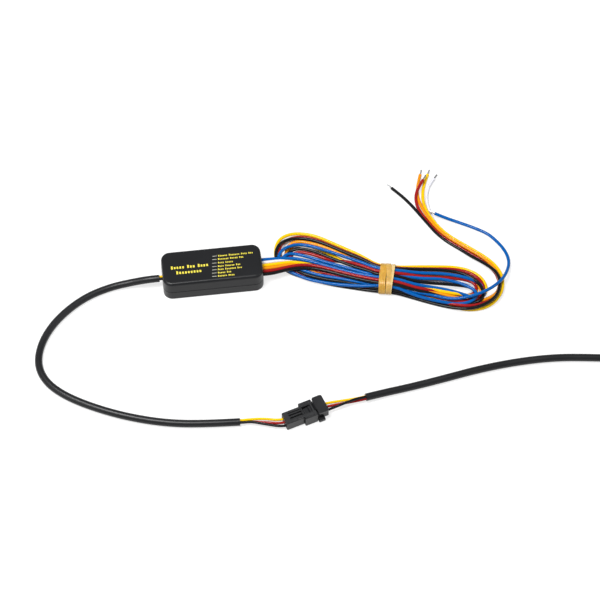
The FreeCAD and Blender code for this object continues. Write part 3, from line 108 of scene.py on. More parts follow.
# the connector pair: its place, its turn and the fine ribs of its mouldings, in millimetres
CONNECTOR_PLACE = (32.2, -113.65, 0.0)
CONNECTOR_TURN = 17.5
LAMP_END_PLACE = (290.4, -5.0, 0.0)
LAMP_END_TURN = 90
SHROUD_START, SHROUD_TOP = 11.5, 8.0
REAR_TOP = 7.3
STRIP_TOP = 6.8
STRIPS = (0.0, 1.9)
RIB_BEVEL = 0.07
# how deep the mouldings' raised forms are sunk in and how far they stand out
SUNK, RAISED = 0.2, 0.3
PLATE_START, PLATE_END = 7.4, 17.6
PLATE_STEP = 0.1
PLATE_REAR_SIDE, PLATE_FRONT_SIDE, PLATE_INNER_SIDE = -4.2, -5.2, -2.95
GRIP_RIBS, GRIP_START, GRIP_PITCH, GRIP_WIDTH, GRIP_HEIGHT = 9, 0.3, 0.86, 0.45, 0.28
GRIP_NEAR, GRIP_FAR = 3.0, 5.7
TEETH, TOOTH_START, TOOTH_PITCH, TOOTH_WIDTH = 10, 3.4, 0.8, 0.42
TOOTH_REACH, TOOTH_SUNK = 0.5, 0.1

# rows of the print: left end, length of each word in marks, middle across the cover, height, width of a mark
TITLE_ROWS = (
    (-25.6, (5, 3, 4), 0.0, 2.3, 1.75),
    (-22.6, (9,), -4.1, 2.3, 1.8),
)
LIST_ROWS = (
    (4.6, (6, 7, 4, 3), 5.9, 1.3, 0.98),
    (4.2, (7, 5, 3), 3.35, 1.3, 0.98),
    (3.9, (4, 5), 0.6, 1.3, 0.98),
    (3.6, (4, 6, 3), -2.05, 1.3, 0.98),
    (3.3, (4, 7, 3), -4.5, 1.3, 0.98),
    (3.1, (5, 3), -7.0, 1.3, 0.98),
    (2.9, (6, 4), -9.5, 1.3, 0.98),
)
LOW_MARK, MARK_SHARE, WORD_GAP = 0.74, 0.62, 0.8
LEADER_LENGTH, LEADER_WIDTH, LEADER_GAP = 2.8, 0.4, 0.8
PALE_INK = (0.42, 0.42, 0.36)
# how much the roughness changes over a surface
ROUGHNESS_SPREAD = 0.25

# the camera and the lights, in metres
CAMERA_PLACE, CAMERA_TARGET, CAMERA_LENS = (-0.05079, -0.87747, 1.22873), (0.05258, -0.0233, 0), 144
KEY_PLACE, KEY_SIZE = (-0.3, -0.1, 1.15), 0.6
FILL_PLACES = {"left light": (-1.0, -0.5, 0.8), "right light": (1.1, -0.4, 0.8)}
FILL_SIZE = 0.8
LIGHT_TARGET = (0.03, -0.04, 0)

# the hank: stations round the outer lines of its two lobes, each a place and the way inwards, and the rows
# of wires that lie on each other under the rubber band
FLAT = 1.05
LEFT_LOBE = (
    (97, 2, -0.6, -0.8), (85.7, 10.8, -0.6, -0.8), (75, 19, -0.58, -0.81), (66, 25, -0.35, -0.94),
    (57, 27.2, 0, -1), (49.5, 26.6, 0.45, -0.89), (43.8, 22, 0.85, -0.5), (41, 15, 1, 0),
    (40.8, 7.5, 0.98, 0.15), (43, 1.5, 0.8, 0.6), (49, -4, 0.55, 0.83), (58.4, -9.8, 0.42, 0.91),
    (72, -15.4, 0.35, 0.94), (86, -19.6, 0.25, 0.97),
)
RIGHT_LOBE = (
    (118, -7.4, -0.08, -1), (130, -8.5, -0.1, -1), (142, -9.7, -0.12, -1), (152.3, -11.3, -0.28, -0.96),
    (160, -14.3, -0.5, -0.87), (166, -19, -0.75, -0.66), (169.4, -25.5, -0.95, -0.3),
    (169.4, -32, -0.97, 0.25), (166, -38, -0.8, 0.6), (160, -42, -0.45, 0.9), (152, -43.4, 0, 0.99),
    (143.4, -41, 0.39, 0.92), (131, -35.4, 0.4, 0.92), (120.5, -30.3, 0.4, 0.92),
)
BAND_PLACE = (108.2, -16.6)
BAND_TURN = -12
BAND_RUN = 6.0
BAND_ROWS = (2.05, 3.85, 5.65, 7.4)


def inside(lobe, steps):
    """Points beside a lobe's outer line: each step is a station, how far inside it, and a level."""
    points = []
    for station, inwards, level in steps:
        x, y, inward_x, inward_y = lobe[station - 1]
        points.append((x + inward_x * inwards, y + inward_y * inwards, level))
    return points


def under_band(row, across, way, level=None):
    """Two points that take a wire straight under the band; way is 1 to the right and -1 to the left."""
    turn = math.radians(BAND_TURN)
    middle_x = BAND_PLACE[0] - across * math.sin(turn)
    middle_y = BAND_PLACE[1] + across * math.cos(turn)
    run_x = way * BAND_RUN * math.cos(turn)
    run_y = way * BAND_RUN * math.sin(turn)
    height = level or BAND_ROWS[row - 1]
    return [(middle_x - run_x, middle_y - run_y, height), (middle_x + run_x, middle_y + run_y, height)]


# each wire from its first bend outside the case, through its folds, to where it leaves the hank
HANK_STRANDS = {
    "blue": [
        (43.4, 5.6, 6.1), (49.7, 5.4, 5.7), (55.8, 4, 5.5), (63.1, 1.2, 5.5), (70.8, -2.6, 5.6),
        (79.8, -7.2, 5.8), (88.8, -11.7, 6.3), *under_band(4, -1.6, 1), (124.7, -24.3, 6),
        (133.9, -26.6, 5.1), (144.9, -29.9, 4.4), (152, -32.8, 3.8), (158.2, -35.6, 2.8),
        (164.2, -37, 1.8), (168, -33.8, 1.6), (167.8, -29, 2), (164.6, -25.4, 3.2), (159.4, -22.8, 4.4),
        (153.2, -20.2, 4.8), (141.8, -17, 4.9), (129.2, -16, 5.8), *under_band(4, 4.6, -1, 7.7),
        (92.9, -3.2, 6.5), (84.4, 2.1, 5.8), (76, 7.2, 5.5), (66, 12.8, 5.2), (57.4, 15.9, 5.1),
        (50.9, 15.5, 5), (45.6, 13, 4.9), (42.6, 8.6, 4.4), (43.2, 3.4, 3.4), (47.6, -1.8, 2.5),
        (52.7, -5.4, 2.2), (58.4, -9.2, 2.2), (65.6, -12.5, 2.5), (74.9, -15.9, 3), (86, -19, 3.9),
        (94, -21, 4.9), *under_band(3, -6.6, 1), (124.5, -31.4, 3.6), (138.7, -37, 2.9),
        (148.5, -40.2, 2.8), (156.6, -40.2, 3.2), (161.8, -37.4, 3.9), (162.2, -33, 4.3),
        (158.6, -29.2, 4.4), (152.6, -25.2, 4.4), (141.2, -20.9, 4.7), (128.6, -19.9, 5.4),
        *under_band(3, 2.2, -1), (97.5, -13.2, 6.2), (88.9, -8.7, 6), (80.3, -4.3, 5.5),
        (72.5, -0.6, 5.4), (64.5, 3.6, 5.2), (57.2, 7.3, 5.1), (50.6, 9.6, 5.1), (46, 8.2, 5),
        (44.6, 4.2, 4), (46.6, 0.6, 3.4), (53.9, -1.6, 3.4), (59.2, -4.7, 3.6), (66, -8.4, 3.8),
        (75.4, -11.7, 4.2), (85, -15.3, 4.5), (93, -18.2, 4.2), *under_band(2, -5.5, 1),
        (123.6, -28.8, 4.4), (134, -32.2, 4.3),
    ],
    "red": [
        (40.9, -2.8, 6.3), (48.7, -0.9, 5.6), (54.9, -0.4, 5.4), (60.9, -1, 5.4), (66.8, -2.8, 5.4),
        (76, -7.2, 5.6), (88.5, -13.4, 6.4), *under_band(4, -3.8, 1), (124.4, -26.5, 5.8),
        (133.5, -28.6, 4.4), (143.5, -31.2, 2.9), (151.5, -33.2, 1.9), (158.4, -33.8, 1.6),
        (162.8, -31.2, 1.8), (163.2, -26.8, 2.2), (159.6, -23, 2.6), (151.5, -20.4, 2.9),
        (140, -18.9, 3.1), (128.6, -17.9, 4.9), *under_band(4, 2.7, -1), (96.8, -8.4, 6.8),
        (89.7, -3.9, 6), (84, -0.3, 4.5), (79.2, 0.4, 4), (74, 1.9, 4.6), (67.8, 5, 5.2), (62.1, 8.1, 5),
        (57.2, 10.2, 4.6), (52.6, 10.4, 3.6), (49, 7.8, 2.9), (48.8, 3.6, 2.9), (51.8, 0.8, 3),
        (57.4, -0.4, 3.3), (65.6, -5, 3.3), (75.6, -9.5, 3.5), (86, -13.6, 4.3), *under_band(3, -4.4, 1),
        *inside(RIGHT_LOBE, [(14, 4.4, 3), (13, 4.6, 2.9), (12, 5, 2.9), (11, 4.6, 2.9), (10, 3.6, 2.7),
        (9, 2.6, 2.5), (8, 1.9, 2.3), (7, 1.9, 2.3), (6, 1.9, 2.3), (5, 1.9, 2.3), (4, 1.9, 2.3),
        (3, 2, 2.4), (2, 2, 2.6)]),
        *under_band(2, 8.1, -1, 5.2), (94, 1.6, 4.4), (86, 7.3, 3.6), (78.5, 12.6, 3.2), (69.8, 18.9, 3),
        (63.5, 22, 2.9), (57, 23.5, 2.8), (50.6, 22.4, 2.8), (45.6, 19.4, 2.7), (43.4, 13.6, 2.6),
        (43.4, 7.2, 2.6), (46.2, 1.8, 2.4), (53, -3.4, 1.4), (61, -8.2, FLAT), (73.5, -12.9, FLAT),
        (86.5, -17.2, 1.4), *under_band(1, -6.6, 1), (121.6, -28.6, 1.6), (132, -33.6, 2),
        (142.4, -38.2, 2.6),
    ],
    "black": [
        (41.2, -4.7, 6.3), (46.9, -3.3, 5.7), (53.1, -2.6, 5.4), (59.6, -3.2, 5.4), (66.6, -4.9, 5.4),
        (75.9, -9, 5.5), (88, -15.3, 6.3), *under_band(4, -5.8, 1), (124.1, -28.4, 5.6),
        (133.2, -31, 4.7), (141, -34.2, 3.4), (149, -36.8, 2.4), (156, -37.6, 1.9), (161, -35.4, 2),
        (162, -31, 2.6), (158.4, -28.2, 3.3), (151.5, -26.4, 3.7), (140.7, -24.4, 4.2),
        (127, -22.4, 5.5), *under_band(4, 0.5, -1), (97.9, -11.2, 6.9), (89.5, -6.7, 6.3), (81, -1.1, 5.6),
        (72.4, 4.5, 5.4), (65.2, 9.6, 5.2), (57.8, 12.6, 5), (51.4, 12.6, 4.2), (47.6, 9.4, 3),
        (47.6, 4.2, 2.6), (50.2, 0.2, 2.6), (54, -3.4, 2.9), (58.7, -6.8, 3.3), (65.9, -10.5, 3.6),
        (75.2, -13.8, 3.9), (86.5, -17.3, 3.8), *under_band(2, -7.7, 1),
        *inside(RIGHT_LOBE, [(14, 1.6, 2.7), (13, 2, FLAT), (12, 2, FLAT), (11, 2.2, FLAT),
        (10, 2.2, 1.6)]),
        (164.6, -39.3, 3), (166.9, -34.4, 4.1), (165.6, -27.9, 4.3), (161.5, -22.3, 4.3),
        (153.5, -16.8, 4.4), (142.3, -13.9, 4.5), (129.8, -12.4, 4.9), *under_band(3, 6.5, -1, 6.6),
        (93.4, 0.2, 6), (84.9, 5.8, 5.3), (78.3, 10.7, 5), (70.7, 15.9, 4.8), (63.5, 19.6, 4.6),
        (55.4, 21.4, 4.4), (48.4, 20.8, 4.3), (43.4, 17.2, 4.2), (41.2, 11.6, 4.2), (41.2, 6.2, 3.9),
        (43.8, 0.9, 2.8), (49.6, -3.4, 1.3), (58.8, -8.2, FLAT), (72.4, -14.4, FLAT), (86, -18.9, 1.1),
        *under_band(1, -8.8, 1), (120.9, -30.3, 1.5), (131.2, -35.2, 1.15), (142.6, -40.4, 1.3),
    ],
    "yellow": [
        (42, 1.6, 6.3), (49.1, 2.7, 5.4), (55.1, 2, 4.6), (60.5, 0.8, 4), (66.5, -1.2, 3.4),
        (76.4, -4.6, 3.4), (88, -9.8, 4.4), *under_band(3, 0, 1),
        *inside(RIGHT_LOBE, [(14, 6.6, 4.2), (13, 8.2, 4.3), (12, 9.2, 4.2)]),
        (153.2, -33.4, 3.2), (158.8, -34.4, 1.8), (163.2, -31.8, FLAT), (163.6, -27, FLAT),
        (159.4, -23.2, FLAT), (152, -21.2, FLAT),
        *inside(RIGHT_LOBE, [(3, 9.6, 1.3), (2, 9.4, 2.6)]),
        *under_band(2, 3.3, -1),
        *inside(LEFT_LOBE, [(1, 9.4, 3), (2, 8.6, 2.2), (3, 8.2, 1.1), (4, 8.4, FLAT), (6, 8.4, FLAT),
        (8, 7.8, FLAT), (9, 8.4, FLAT)]),
        (52, 3.6, FLAT),
        *inside(LEFT_LOBE, [(12, 10.4, FLAT), (13, 10.8, FLAT), (14, 10.8, FLAT)]),
        *under_band(1, 2.2, 1),
        *inside(RIGHT_LOBE, [(14, 9.6, 1.1), (13, 7.4, FLAT), (12, 6.8, FLAT), (11, 6.2, FLAT),
        (10, 4.4, FLAT), (9, 1.6, FLAT), (8, 0.2, 1.2), (7, 0, 1.7), (6, 0, 1.9), (5, 0.1, 2),
        (4, 0.1, 2), (3, 0.1, 2), (2, 0, 2.2)]),
        *under_band(1, 9.6, -1, 4), (94.4, 3.9, 3.3), (85.7, 10.7, 2.5), (79, 15.8, 2.1),
        (69.8, 22.6, 1.8), (62.7, 25.8, 1.6), (55.6, 27.4, 1.4), (49, 26.5, 1.3), (43.8, 22.8, 1.1),
        (41.2, 15, FLAT), (41.2, 7.6, FLAT), (44.6, 2, FLAT), (51.6, -2.2, FLAT), (60.4, -6.2, FLAT),
        (73.6, -10.9, FLAT), (87.2, -15.2, FLAT), *under_band(1, -4.4, 1), (122.4, -26.6, FLAT),
        (133, -31.6, FLAT), (143.2, -38.4, FLAT),
    ],
    "orange": [
        (42, -0.5, 6.1), (47.3, 0.9, 5), (53.5, 0.6, 4.1), (59.6, -0.5, 3.4), (68, -3.6, 3.4),
        (77.6, -6.8, 3.6), (88.6, -11.9, 4.6), *under_band(3, -2.2, 1),
        *inside(RIGHT_LOBE, [(14, 5, 3.9), (13, 6.6, 3.7), (12, 7.2, 3.5)]),
        (153, -36.2, 2.4), (160.2, -37.2, 1.4), (165.4, -34.2, FLAT), (166, -28.6, FLAT),
        (162.2, -23.4, FLAT), (154.6, -19.9, FLAT),
        *inside(RIGHT_LOBE, [(3, 7.4, 1.6), (2, 7, 3.4)]),
        *under_band(3, 4.4, -1), (92.4, -2.4, 4.8), (84, 4, 4.6), (77.4, 8.6, 4.9), (70.3, 12.9, 5.1),
        (64.5, 15.7, 5), (58.6, 17.9, 4.9), (53.4, 18.4, 4.5), (49.6, 16.6, 3.2), (47.8, 12.6, 1.6),
        (47.6, 7.6, FLAT), (50, 2.6, 1.2), (54.6, -0.9, 2.2),
        *inside(LEFT_LOBE, [(12, 6.8, 2.9), (13, 7, 2.9), (14, 6.8, 3.2)]),
        *under_band(2, -3.3, 1),
        *inside(RIGHT_LOBE, [(14, 2.8, 1.2), (13, 4.2, FLAT), (12, 4.4, FLAT), (11, 4.4, FLAT),
        (10, 3.4, FLAT), (9, 2.4, FLAT), (8, 2.6, FLAT), (7, 4.4, FLAT), (6, 5.2, FLAT), (5, 5.3, FLAT),
        (4, 5.2, FLAT), (3, 5, 1.2), (2, 4.8, 1.9)]),
        *under_band(2, 5.5, -1), (95, -1.2, 3.2), (85.6, 5.6, 3), (76.6, 12.8, 2.9), (67, 18.4, 2.9),
        (59.8, 20.6, 2.9), (54.2, 19.2, 2.2), (51.2, 15, 1.2), (51, 9.6, FLAT), (52.6, 4.8, FLAT),
        (57.2, 1.2, FLAT), (65.4, -2.4, FLAT), (76.6, -7, FLAT), (89, -11.4, FLAT), *under_band(1, 0, 1),
        (124, -23.4, FLAT), (135, -29.4, FLAT), (144.2, -34.6, FLAT),
    ],
    "white": [
        (42, 4, 6), (48.5, 4.8, 4.4), (55.5, 4.2, 3.4), (64, 1.6, 3), (76, -3, 2.9), (88, -8.4, 3.2),
        *under_band(2, -1.1, 1),
        *inside(RIGHT_LOBE, [(14, 7.6, 2), (13, 10.6, 1.4)]),
        (147.4, -30.4, FLAT), (153.6, -32.2, FLAT), (159.4, -32.4, FLAT), (163, -29.2, FLAT),
        (161.6, -24.8, FLAT), (156, -22.4, FLAT), (148.6, -21.9, FLAT),
        *inside(RIGHT_LOBE, [(3, 12, 1.3), (2, 11.8, 2.4)]),
        *under_band(2, 1.1, -1),
        *inside(LEFT_LOBE, [(1, 13.6, 2.6), (2, 13.6, 1.1), (3, 13, FLAT), (4, 12.4, FLAT),
        (6, 11, FLAT), (8, 10, FLAT)]),
        (51.4, 8, FLAT), (54.6, 3.6, FLAT),
        *inside(LEFT_LOBE, [(12, 12.6, FLAT), (13, 13, FLAT), (14, 13, FLAT)]),
        *under_band(1, 4.4, 1),
        *inside(RIGHT_LOBE, [(14, 11.6, FLAT), (13, 9.6, FLAT), (12, 9, FLAT), (11, 8.8, FLAT),
        (10, 6.6, FLAT), (9, 3.8, FLAT), (8, 3.2, FLAT), (7, 3.3, FLAT), (6, 3.6, FLAT), (5, 3.7, FLAT),
        (4, 3.5, FLAT), (3, 3.4, FLAT), (2, 3, 1.1)]),
        *under_band(1, 6.6, -1), (94.8, 1.2, 1.4), (85.6, 8.2, FLAT), (76.4, 15.2, FLAT), (67, 21, FLAT),
        (58, 23.6, FLAT), (50.4, 22.4, FLAT), (45.6, 17.8, FLAT), (44, 11.6, FLAT), (45.6, 5.6, FLAT),
        (52.6, 0.8, FLAT), (61.8, -3.6, FLAT), (74.8, -8.6, FLAT), (88, -13, FLAT),
        *under_band(1, -2.2, 1), (123, -24.8, FLAT), (134, -30.6, FLAT), (143.6, -36.6, FLAT),
    ],
}

# the way that five of the wires take side by side from the hank towards their ends
TAIL_LINE = (
    (172.8, -39.2), (177.2, -34), (179.3, -27.2), (179, -19.8), (176, -13), (171.4, -7), (166, -1.8),
    (159.6, 4.2), (152.4, 10.9), (146.8, 18.1), (142.8, 25.7),
)


def beside(steps):
    """Points along the tails' common way, to a tenth: each step is how far to its right, and a level."""
    points = []
    for place, (right, level) in enumerate(steps, 1):
        x, y = TAIL_LINE[place]
        before = TAIL_LINE[place - 1]
        after = TAIL_LINE[min(place + 1, len(TAIL_LINE) - 1)]
        run_x = after[0] - before[0]
        run_y = after[1] - before[1]
        run = math.hypot(run_x, run_y)
        points.append((round(x + right * run_y / run, 1), round(y - right * run_x / run, 1), level))
    return points


# each wire from the hank to its bare end
WIRE_TAILS = {
    "blue": [
        (142.7, -36, 4.3), (149.9, -37.7, 5.2), (156.1, -38, 6.6), (162, -37.5, 7.6),
        (166.9, -36.1, 8.1), (172.1, -33.7, 8.1), (177.5, -29.5, 7.4), (181.8, -24, 5.4),
        (185.4, -16.6, 3), (186.9, -11.1, 1.6), (186.9, -5.2, FLAT), (184.8, 1.3, FLAT),
        (181.1, 7.7, FLAT), (177.2, 13, FLAT), (168.8, 18.9, FLAT), (160.2, 24, FLAT),
        (153.8, 27.2, 1.7), (149.4, 29.5, 2.4), (145.8, 31, 3.6),
    ],
    "red": [
        (152.2, -42, 3.15), (159.2, -42.8, 3.1), (166.3, -41, 2.4), (172.1, -37.9, 1.3),
        *beside([(-1.1, FLAT)] * 10),
        (138.2, 32.4, FLAT), (135.9, 39.2, 1.4), (135.7, 46, 2.5), (138, 52.2, 3.3), (142.4, 58.2, 4.2),
    ],
    "black": [
        (151.5, -44.1, 3), (159.1, -44.9, 3.6), (167.3, -43.2, 4.9), (173.4, -39.4, 5.5),
        *beside([(-0.6, 5.4), (-1, 5.4), (-1.9, 5.3), (-3.1, 4.1), (-3.3, 2.9), (-3, 1.7)]
                + [(-2.2, FLAT)] * 4),
        (136.4, 33.6, FLAT), (132, 42, FLAT), (126.9, 50, FLAT), (121.8, 56.4, FLAT),
    ],
    "yellow": [
        (151.8, -43.2, FLAT), (159.2, -44.6, FLAT), (166.9, -43.9, 1.4), (173.5, -40.6, 2.6),
        *beside([(1.1, 3.15)] * 3 + [(1.1, 3.1)] + [(1.1, 2.9)] * 6),
        (141.3, 34, 2.2), (140.2, 42, 1.3), (141, 50, FLAT), (143.2, 57.6, FLAT), (146.5, 64.5, FLAT),
    ],
    "orange": [
        (152.2, -38.4, FLAT), (159.2, -39.2, FLAT), (166.3, -38.4, 1.7), (172.1, -36.8, 2.6),
        *beside([(-1.1, 3.15), (-1.1, 3.15), (-0.8, 3.15), (-0.4, 3.15)] + [(0, 3)] * 6),
        (139.4, 33.6, 3), (137.7, 41.6, 2.3), (137.4, 49.6, FLAT), (138.9, 57.2, FLAT),
        (141.7, 64.9, FLAT),
    ],
    "white": [
        (151.8, -41.1, FLAT), (159.2, -42.2, FLAT), (166.9, -41.4, FLAT), (173.5, -38.8, FLAT),
        *beside([(1.1, FLAT), (1.1, FLAT), (1.3, FLAT), (1.8, FLAT)] + [(2.2, FLAT)] * 6),
        (143.2, 34.6, FLAT), (142.6, 42.8, FLAT), (143.9, 50.6, FLAT), (146.4, 56.2, FLAT),
        (150, 60.6, FLAT),
    ],
}

# the bare cores: the bends of the far, the middle and the near one between a jacket and a connector, then
# their angles about the end of a jacket in degrees, and their sizes in millimetres
CORE_BENDS = {
    "controller_cable_cores": (
        [(12.5, -108.9, 2.9), (20.5, -109.4, 2.9)],
        [(12.5, -109.9, 1.6), (20.5, -111.4, 2)],
        [(12.5, -110.6, 3), (20.5, -113.2, 2.7)],
    ),
    "lamp_lead_cores": (
        [(77, -101.5, 2.5), (70, -102, 2.5)],
        [(77, -103.4, 2.5), (69.5, -103.9, 2.3)],
        [(77, -103, 4.6), (70, -105, 4.2)],
    ),
    "lamp_end_cores": ([], [], []),
}
CORES_LOW = (30, 270, 150)
CORES_CROSSED = (200, 320, 80)
CORE_WIDTH = 1.6
CORE_MOUTH = 1.5
CORE_ENTRY = 4.0
PIN_PITCH = 2.5
PIN_LEVEL = 2.7
RECEPTACLE_CONTACT = 2.5
PLUG_CONTACT = 24.4

# steps of a cord's line from point to point, as it is shown and as it is measured
CORD_STEPS = 8
MEASURE_STEPS = 16
JACKET_FACETS = 5

# the bare strands of a wire end: their length in millimetres, their turns, and how many lie round the middle
TIP_LENGTH = 4.0
TIP_TURNS = 1.1
TIP_STEPS = 10
OUTER_STRANDS = 6
STRAND_FACETS = 6

WIRE_COLOURS = ("blue", "white", "yellow", "orange", "red", "black")
CORE_COLOURS = ("yellow", "red", "black")
WIRE_ROW, WIRE_PITCH = -0.3, 2.26
WIRE_EXIT, EXIT_LEVEL = 31.5, 7.0
FIRST_BENDS = {"blue": 36, "white": 36, "yellow": 36, "orange": 36.5, "red": 36.5, "black": 37}


def wire_route(colour):
    """The whole way of one harness wire, from the case to its bare end."""
    y = WIRE_ROW + WIRE_PITCH * ((len(WIRE_COLOURS) - 1) / 2 - WIRE_COLOURS.index(colour))
    lead = [(WIRE_EXIT, y, EXIT_LEVEL), (FIRST_BENDS[colour], y, EXIT_LEVEL)]
    return lead + HANK_STRANDS[colour] + WIRE_TAILS[colour]


def core_routes(node):
    """The ways of three bare cores from the end of their jacket to the contacts of their connector."""
    cable, angles, place, turn, contact, way = {
        "controller_cable_cores": (
            CONTROLLER_CABLE[-2:], CORES_LOW, CONNECTOR_PLACE, CONNECTOR_TURN, RECEPTACLE_CONTACT, -1),
        "lamp_lead_cores": (
            LAMP_LEAD[1::-1], CORES_CROSSED, CONNECTOR_PLACE, CONNECTOR_TURN, PLUG_CONTACT, 1),
        "lamp_end_cores": (
            LAMP_LEAD_END[-2:], CORES_LOW, LAMP_END_PLACE, LAMP_END_TURN, RECEPTACLE_CONTACT, -1),
    }[node]
    inner, end = map(Vector, cable)
    heading = (end - inner).normalized()
    side = Vector((-heading.y, heading.x, 0)).normalized()
    rise = heading.cross(side)
    reach = CORE_WIDTH / math.sqrt(3)
    connector = Matrix.Translation(place) @ Matrix.Rotation(math.radians(turn), 4, "Z")
    routes = []
    for i, (angle, bends) in enumerate(zip(map(math.radians, angles), CORE_BENDS[node])):
        start = end + side * (reach * math.cos(angle)) + rise * (reach * math.sin(angle))
        y = (1 - i) * PIN_PITCH
        mouth = connector @ Vector((contact + way * CORE_ENTRY, y, PIN_LEVEL))
        hold = connector @ Vector((contact, y, PIN_LEVEL))
        routes.append([tuple(start), tuple(start + heading * CORE_MOUTH), *bends, tuple(mouth), tuple(hold)])
    return routes


def coil_points():
    """The turns of the put-away lamp lead, from its lowest side round to its right side."""
    points = []
    start = -0.5 * math.pi
    steps = COIL_STEPS * len(COIL_TURNS) + COIL_STEPS // 4 - 1
    for step in range(steps):
        turn = step / COIL_STEPS
        lower = min(int(turn), len(COIL_TURNS) - 1)
        upper = min(lower + 1, len(COIL_TURNS) - 1)
        share = max(0.0, (turn - lower - 0.75) * 4.0) if upper > lower else 0.0
        radius = COIL_TURNS[lower][0] * (1 - share) + COIL_TURNS[upper][0] * share
        level = COIL_TURNS[lower][1] * (1 - share) + COIL_TURNS[upper][1] * share
        angle = start + 2 * math.pi * turn
        x = COIL_CENTRE[0] + radius * math.cos(angle)
        y = COIL_CENTRE[1] + radius * math.sin(angle)
        points.append((x, y, level))
    return points


# ---------------------------------------------------------------- settings


class CaseSettings(bpy.types.PropertyGroup):
    colour: FloatVectorProperty(
        name="Case colour", description="Colour of the moulded case", subtype="COLOR",
        default=(0.0115, 0.012, 0.0135), min=0, max=1)
    grain: FloatProperty(
        name="Grain", description="Size of the moulded grain", default=0.00035, unit="LENGTH", min=0.00005)
    print_colour: FloatVectorProperty(
        name="Print colour", description="Colour of the printing on the cover", subtype="COLOR",
        default=(0.8, 0.68, 0.06), min=0, max=1)
    print_lift: FloatProperty(
        name="Print lift", description="Height of the printing above the cover", default=0.00004,
        unit="LENGTH", min=0)


class CordSettings(bpy.types.PropertyGroup):
    jacket_width: FloatProperty(
        name="Jacket", description="Diameter of the jacketed cables", default=0.0047, unit="LENGTH",
        min=0.001)
    core_width: FloatProperty(
        name="Core", description="Diameter of a core in a jacketed cable", default=0.0016, unit="LENGTH",
        min=0.0005)
    wire_width: FloatProperty(
        name="Wire", description="Diameter of a harness wire", default=0.0021, unit="LENGTH", min=0.0005)
    strand_width: FloatProperty(
        name="Bare strand", description="Diameter of a bare wire end", default=0.0011, unit="LENGTH",
        min=0.0003)
    facets: IntProperty(
        name="Roundness", description="Facets around a quarter of a cord", default=3, min=1, max=8)


class BandSettings(bpy.types.PropertyGroup):
    colour: FloatVectorProperty(
        name="Band colour", description="Colour of the rubber band", subtype="COLOR",
        default=(0.6, 0.33, 0.05), min=0, max=1)
    strands: IntProperty(
        name="Strands", description="How often the band goes round the wires", default=3, min=1, max=6)


class StageSettings(bpy.types.PropertyGroup):
    floor_size: FloatProperty(
        name="Floor", description="Side of the square floor", default=8.0, unit="LENGTH", min=1)
    key_power: FloatProperty(
        name="Key light", description="Power of the light above", default=15.0, unit="POWER", min=0)
    fill_power: FloatProperty(
        name="Fill light", description="Power of each side light", default=2.5, unit="POWER", min=0)
    show_floor: BoolProperty(name="Show floor", description="Lay the floor under the part", default=True)


# ---------------------------------------------------------------- material helpers


def group_socket(tree, name, way, kind, default=None):
    socket = tree.interface.new_socket(name=name, in_out=way, socket_type=kind)
    if default is not None:
        socket.default_value = default
    return socket


def maths(tree, operation, *values):
    """The result of a maths node whose inputs are numbers or other nodes' sockets."""
    node = tree.nodes.new("ShaderNodeMath")
    node.operation = operation
    for socket, value in zip(node.inputs, values):
        if isinstance(value, bpy.types.NodeSocket):
            tree.links.new(value, socket)
        else:
            socket.default_value = value
    return node.outputs[0]


def moulded_grain():
    """Fine grain and slow tone changes, as moulded plastic, rubber and wire insulation have them."""
    name = "Moulded grain"
    if name in bpy.data.node_groups:
        return bpy.data.node_groups[name]
    tree = bpy.data.node_groups.new(name, "ShaderNodeTree")
    group_socket(tree, "Colour", "INPUT", "NodeSocketColor", (0.5, 0.5, 0.5, 1))
    group_socket(tree, "Tone", "INPUT", "NodeSocketFloat", 0.12)
    group_socket(tree, "Roughness", "INPUT", "NodeSocketFloat", 0.4)
    group_socket(tree, "Grain scale", "INPUT", "NodeSocketFloat", 3000)
    group_socket(tree, "Patch scale", "INPUT", "NodeSocketFloat", 60)
    group_socket(tree, "Colour", "OUTPUT", "NodeSocketColor")
    group_socket(tree, "Roughness", "OUTPUT", "NodeSocketFloat")
    group_socket(tree, "Height", "OUTPUT", "NodeSocketFloat")
    nodes = tree.nodes
    links = tree.links
    start = nodes.new("NodeGroupInput")
    end = nodes.new("NodeGroupOutput")
    place = nodes.new("ShaderNodeTexCoord")
    fine = nodes.new("ShaderNodeTexNoise")
    fine.inputs["Detail"].default_value = 3
    links.new(place.outputs["Object"], fine.inputs["Vector"])
    links.new(start.outputs["Grain scale"], fine.inputs["Scale"])
    patch = nodes.new("ShaderNodeTexNoise")
    patch.inputs["Detail"].default_value = 4
    links.new(place.outputs["Object"], patch.inputs["Vector"])
    links.new(start.outputs["Patch scale"], patch.inputs["Scale"])
    centred = maths(tree, "SUBTRACT", patch.outputs["Fac"], 0.5)
    tone = maths(tree, "MULTIPLY", centred, start.outputs["Tone"])
    tint = nodes.new("ShaderNodeHueSaturation")
    links.new(start.outputs["Colour"], tint.inputs["Color"])
    links.new(maths(tree, "MULTIPLY_ADD", tone, 2, 1), tint.inputs["Value"])
    links.new(tint.outputs["Color"], end.inputs["Colour"])
    rough = maths(tree, "MULTIPLY_ADD", centred, ROUGHNESS_SPREAD, start.outputs["Roughness"])
    links.new(rough, end.inputs["Roughness"])
    links.new(fine.outputs["Fac"], end.inputs["Height"])
    return tree


def new_material(name):
    material = bpy.data.materials.new(name)
    material.use_nodes = True
    return material, material.node_tree, material.node_tree.nodes["Principled BSDF"]


